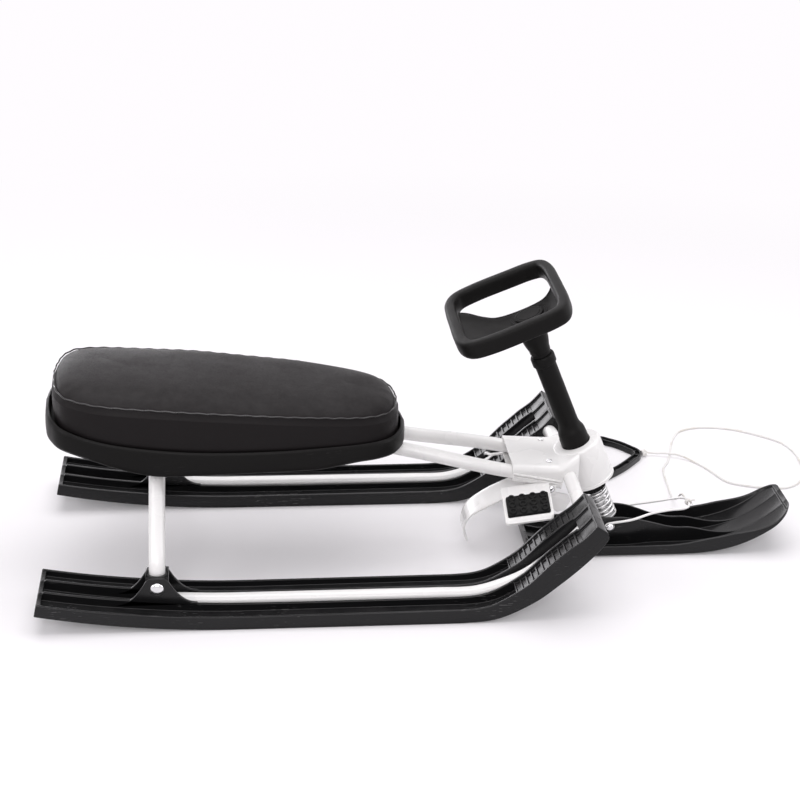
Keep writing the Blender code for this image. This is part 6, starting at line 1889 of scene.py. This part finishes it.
def pedal_height(x, y):
    """Top of a pedal wing: it slopes down outward and rises a little to the front."""
    return WING_ROOT_HEIGHT + WING_RISE * (x - WING_LEVEL_X) - WING_FALL * (abs(y) - BRAKE_EAR_Y)


def pedal_wing(side):
    """One wing of the lever, with a rounded outer edge that is turned down."""
    bend = [WING_CORNER * (1 - math.cos(math.pi / 2 * k / 8)) for k in range(9)]
    middle = np.linspace(WING_REAR + WING_CORNER + 0.004, WING_FRONT - WING_CORNER - 0.004, 8)
    marks = [WING_REAR + s for s in bend] + list(middle) + [WING_FRONT - s for s in bend[::-1]]
    root = BRAKE_EAR_Y - 0.001
    sheet = BRAKE_SHEET
    lip = [(-0.004, 0.0), (-0.0012, -0.0005), (0.0012, -0.0018), (0.0026, -0.0036), (0.0024, -0.0066),
           (-0.0002, -0.0066), (-0.0002, -0.0044), (-0.0016, -sheet - 0.0008), (-0.004, -sheet)]
    rings = []
    for x in marks:
        past = max(WING_CORNER - (x - WING_REAR), WING_CORNER - (WING_FRONT - x), 0) / WING_CORNER
        edge = PEDAL_OUTER_Y - WING_DRAWN_IN - WING_CORNER * (1 - math.sqrt(max(1 - past * past, 0)))
        outline = [(root, 0)] + [(edge + out, lift) for out, lift in lip] + [(root, -sheet)]
        rings.append([Vector((x, side * y, pedal_height(x, y) + lift)) for y, lift in outline])
    return loft(rings, "wing")


def brake_claw():
    """Curved strip behind the pivot, narrowing towards its tip."""
    rings = []
    for t in [k / 59 for k in range(60)]:
        x, z = smooth(CLAW_ROUTE, t)
        along = Vector(smooth(CLAW_ROUTE, min(t + 0.02, 1)) - smooth(CLAW_ROUTE, max(t - 0.02, 0))).normalized()
        half = toward(CLAW_TOP_WIDTH, CLAW_TIP_WIDTH, ease(t, 0.35, 1.0)) / 2
        nx, nz = -along.y * BRAKE_SHEET / 2, along.x * BRAKE_SHEET / 2
        outline = [(-half, 0.2), (-half + 0.0006, 1.0), (-half + 0.006, 0.7), (half - 0.006, 0.7), (half - 0.0006, 1.0),
                   (half, 0.2), (half, -1.0), (half - 0.006, -1.0), (-half + 0.006, -1.0), (-half, -1.0)]
        rings.append([Vector((x + nx * s, y, z + nz * s)) for y, s in outline])
    return loft(rings, "claw")


def pedal_pad(side):
    """Rubber tread block with three rows of four raised rings."""
    y_low = BRAKE_EAR_Y + PAD_INSET
    y_high = PEDAL_OUTER_Y - PAD_OUTSET
    thick = PAD_THICK

    def place(x, y, lift):
        return Vector((x, side * y, pedal_height(x, y) + TOUCH_GAP + lift))
    corners = [(PAD_REAR, y_low), (PAD_FRONT, y_low), (PAD_FRONT, y_high), (PAD_REAR, y_high)]
    middle = ((PAD_REAR + PAD_FRONT) / 2, (y_low + y_high) / 2)
    rings = []
    for lift, inset in ((0, 0), (thick - 0.0014, 0), (thick - 0.0006, 0.0003), (thick - 0.0002, 0.0009),
                        (thick, 0.0018)):
        drawn = [[c + math.copysign(inset, m - c) for c, m in zip(corner, middle)] for corner in corners]
        rings.append([place(p.x, p.y, lift) for p in rounded(drawn, 0.003, 6)])
    meshes = [loft(rings, "pad")]
    profile = ((0.0061, thick - 0.0012), (0.0060, thick + 0.0014), (0.0054, thick + 0.0024), (0.0037, thick + 0.0024),
               (0.0031, thick + 0.0016), (0.0028, thick - 0.0008))
    for row in range(TREAD_ROWS):
        for column in range(TREADS_IN_ROW):
            x = PAD_REAR + (column + 0.5) * (PAD_FRONT - PAD_REAR) / TREADS_IN_ROW
            y = y_low + (row + 0.5) * (y_high - y_low) / TREAD_ROWS
            rows = [[place(x + a, y + b, lift) for a, b in circle(radius, 28)] for radius, lift in profile]
            meshes.append(loft(rows, "ring", closed=True))
    return merged("pad", meshes)


def lever_form():
    """The brake lever: a saddle round the head, two wings, two cheeks and the claw, pressed from one sheet."""
    sheet = BRAKE_SHEET
    ear = BRAKE_EAR_Y
    low = BRAKE_SADDLE_LOW
    high = BRAKE_EAR_TOP
    outline = [(ear + sheet, high), (ear + sheet, low + 0.003), (ear - 0.002, low - sheet + 0.0004),
               (-ear + 0.002, low - sheet + 0.0004), (-ear - sheet, low + 0.003), (-ear - sheet, high), (-ear, high),
               (-ear, low + 0.005), (-ear + 0.004, low), (ear - 0.004, low), (ear, low + 0.005), (ear, high)]
    rings = [[Vector((x, p.x, p.y)) for p in rounded(outline, 0.003, 4)]
             for x in (BRAKE_SADDLE_REAR, BRAKE_PIVOT_X + 0.008)]
    parts = [edged(loft(rings, "saddle"), 0.0006, 50)]
    parts += [edged(pedal_wing(side), 0.0004, 60) for side in (-1, 1)]
    for side in (-1, 1):
        edges = sorted((side * CHEEK_IN, side * CHEEK_OUT))
        parts.append(edged(prism("cheek", rounded(CHEEK_OUTLINE, 0.004, 5), *edges), 0.0006, 50))
    return merged("brake_pressing", parts + [edged(brake_claw(), 0.0004, 60)])


class SLED_OT_brake(bpy.types.Operator):
    """Make the brake lever with its pedals, claw and rubber treads"""
    bl_idname = "sled.brake"
    bl_label = "Brake"

    def execute(self, context):
        dress(linked("brake_pressing", lever_form()), "brake", "white_paint", "brake_lever", angle=34)
        for word, side in SIDES:
            pad = linked(f"tread_{word}", pedal_pad(side))
            dress(pad, "brake", "black_rubber", f"pedal_pad_{word}", angle=32)
        return {"FINISHED"}


# Handle and small metal parts

def handle_mesh():
    """Flat triangular handle of channel bar with ribs across the channel."""
    route = []
    for i in range(3):
        low, corner, high = handle_corner(i)
        nxt, after, _ = handle_corner((i + 1) % 3)
        route += [bent(low, corner, high, t) for t in np.linspace(0, 1, 16)]
        out = ((corner + after) / 2 - handle_middle()).normalized()
        route += [high.lerp(nxt, t) + out * 0.003 * math.sin(math.pi * t) for t in np.linspace(0, 1, 14)[1:-1]]
    half = HANDLE_BAR / 2
    wall = half - 0.003
    section = rounded([(-half, 0), (half, 0), (half, HANDLE_DEEP), (wall, HANDLE_DEEP), (wall - 0.0005, 0.005),
                       (-wall + 0.0005, 0.005), (-wall, HANDLE_DEEP), (-half, HANDLE_DEEP)], 0.0012)
    sides = [-outward(route, i) for i in range(len(route))]
    rings = [[Vector((*(point + out * p.x), p.y)) for p in section] for point, out in zip(route, sides)]
    meshes = [loft(rings, "handle", closed=True)]
    for i in range(4, len(route), 7):
        along = Vector((-sides[i].y, sides[i].x))
        ends = [[Vector((*(route[i] + sides[i] * s + along * d), z)) for s, z in box_outline(0, 0.004, 0.0085, wall)]
                for d in (-0.0008, 0.0008)]
        meshes.append(loft(ends, "rib"))
    return merged("handle", meshes)


class SLED_OT_handle(bpy.types.Operator):
    """Make the flat pull handle"""
    bl_idname = "sled.handle"
    bl_label = "Pull handle"

    def execute(self, context):
        dress(linked("pull_handle", handle_mesh()), "frame", "black_plastic", "tow_handle", angle=34)
        return {"FINISHED"}


def domed_bolt(name, start, end, bore, head, body, node):
    """Bolt along Y with a domed head on a thin washer."""
    long = abs(end - start[1])
    dome = ((0.0, 0.0046), (0.3, 0.0045), (0.55, 0.0041), (0.75, 0.0033), (0.9, 0.0022), (0.985, 0.0010),
            (1, 0.0003), (1, 0.0))
    profile = [(head * share, -rise) for share, rise in dome]
    profile += [(bore, 0.0), (bore, long - 0.0008), (bore - 0.0008, long), (0.0, long)]
    turn = Matrix.Rotation(math.pi / 2 * (-1 if end > start[1] else 1), 4, "X")
    bolt = linked(name, turned(name, profile, 40), Matrix.Translation(Vector(start)) @ turn)
    dress(bolt, body, "chrome", node, angle=32)


class SLED_OT_hardware(bpy.types.Operator):
    """Make the bolts, and finish the solids that keep their own shape"""
    bl_idname = "sled.hardware"
    bl_label = "Bolts and hidden parts"

    def execute(self, context):
        cheek = TUBE_CHANNEL / 2 + BOSS_CHEEK
        pivot = on_axis(PIVOT_UP)
        end = BAIL_Y + BAIL_WIRE / 2 + TOUCH_GAP
        for word, side in SIDES:
            middle = side * TRACK / 2
            domed_bolt(f"boss_bolt_{word}", (LEG_X, middle + side * (cheek + TOUCH_GAP), BOSS_BOLT_Z),
                       middle - side * (cheek + 0.0095), BOSS_BOLT / 2, BOSS_BOLT_HEAD / 2, "frame",
                       f"leg_bolt_{word}")
            ear = side * (BRAKE_EAR_Y + BRAKE_SHEET + TOUCH_GAP)
            domed_bolt(f"lever_bolt_{word}", (BRAKE_PIVOT_X, ear, BRAKE_PIVOT_Z), side * (BRAKE_EAR_Y + 0.0002),
                       BRAKE_ROD / 2, LEVER_BOLT_HEAD / 2, "frame", f"brake_bolt_{word}")
        domed_bolt("ski_bolt", (pivot.x, -end, pivot.z), end + 0.006, PIVOT_BOLT / 2, PIVOT_BOLT_HEAD / 2, "fork",
                   "ski_pivot_bolt")
        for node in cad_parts.values():
            if node.hide_render:
                continue
            slot = node.data.materials[0].name
            node.data.materials.clear()
            node.data.materials.append(finish_for(slot))
            set_all(node.modifiers.new("weld", "WELD"), merge_threshold=0.00001)
            set_all(node.modifiers.new("edges", "BEVEL"), width=0.0004, segments=2, limit_method="ANGLE",
                    angle_limit=math.radians(35), harden_normals=False)
            smoothed(node, 34)
        return {"FINISHED"}


# Panel and run

class SLED_PT_panel(bpy.types.Panel):
    """Lists the sled's steps and settings"""
    bl_idname = "SLED_PT_panel"
    bl_label = "Steering sled"
    bl_space_type = "VIEW_3D"
    bl_region_type = "UI"
    bl_category = "Sled"

    def draw(self, context):
        scene = context.scene
        for group in (scene.sled_sizes, scene.sled_colours, scene.sled_studio):
            box = self.layout.box()
            for key in group.__annotations__:
                box.prop(group, key)
        for step in STEPS:
            self.layout.operator(step.bl_idname)


STEPS = (SLED_OT_studio, SLED_OT_tow_rope, SLED_OT_runners, SLED_OT_tubes, SLED_OT_seat, SLED_OT_head, SLED_OT_steering,
         SLED_OT_ski, SLED_OT_brake, SLED_OT_handle, SLED_OT_hardware)
GROUP_CLASSES = (SledSizes, SledColours, SledStudio)


def register():
    for cls in GROUP_CLASSES + STEPS + (SLED_PT_panel,):
        bpy.utils.register_class(cls)
    bpy.types.Scene.sled_sizes = PointerProperty(type=SledSizes)
    bpy.types.Scene.sled_colours = PointerProperty(type=SledColours)
    bpy.types.Scene.sled_studio = PointerProperty(type=SledStudio)


def unregister():
    del bpy.types.Scene.sled_studio
    del bpy.types.Scene.sled_colours
    del bpy.types.Scene.sled_sizes
    for cls in (SLED_PT_panel,) + STEPS[::-1] + GROUP_CLASSES[::-1]:
        bpy.utils.unregister_class(cls)


def main():
    register()
    for step in STEPS:
        area, name = step.bl_idname.split(".")
        getattr(getattr(bpy.ops, area), name)()


if __name__ == "__main__":
    main()
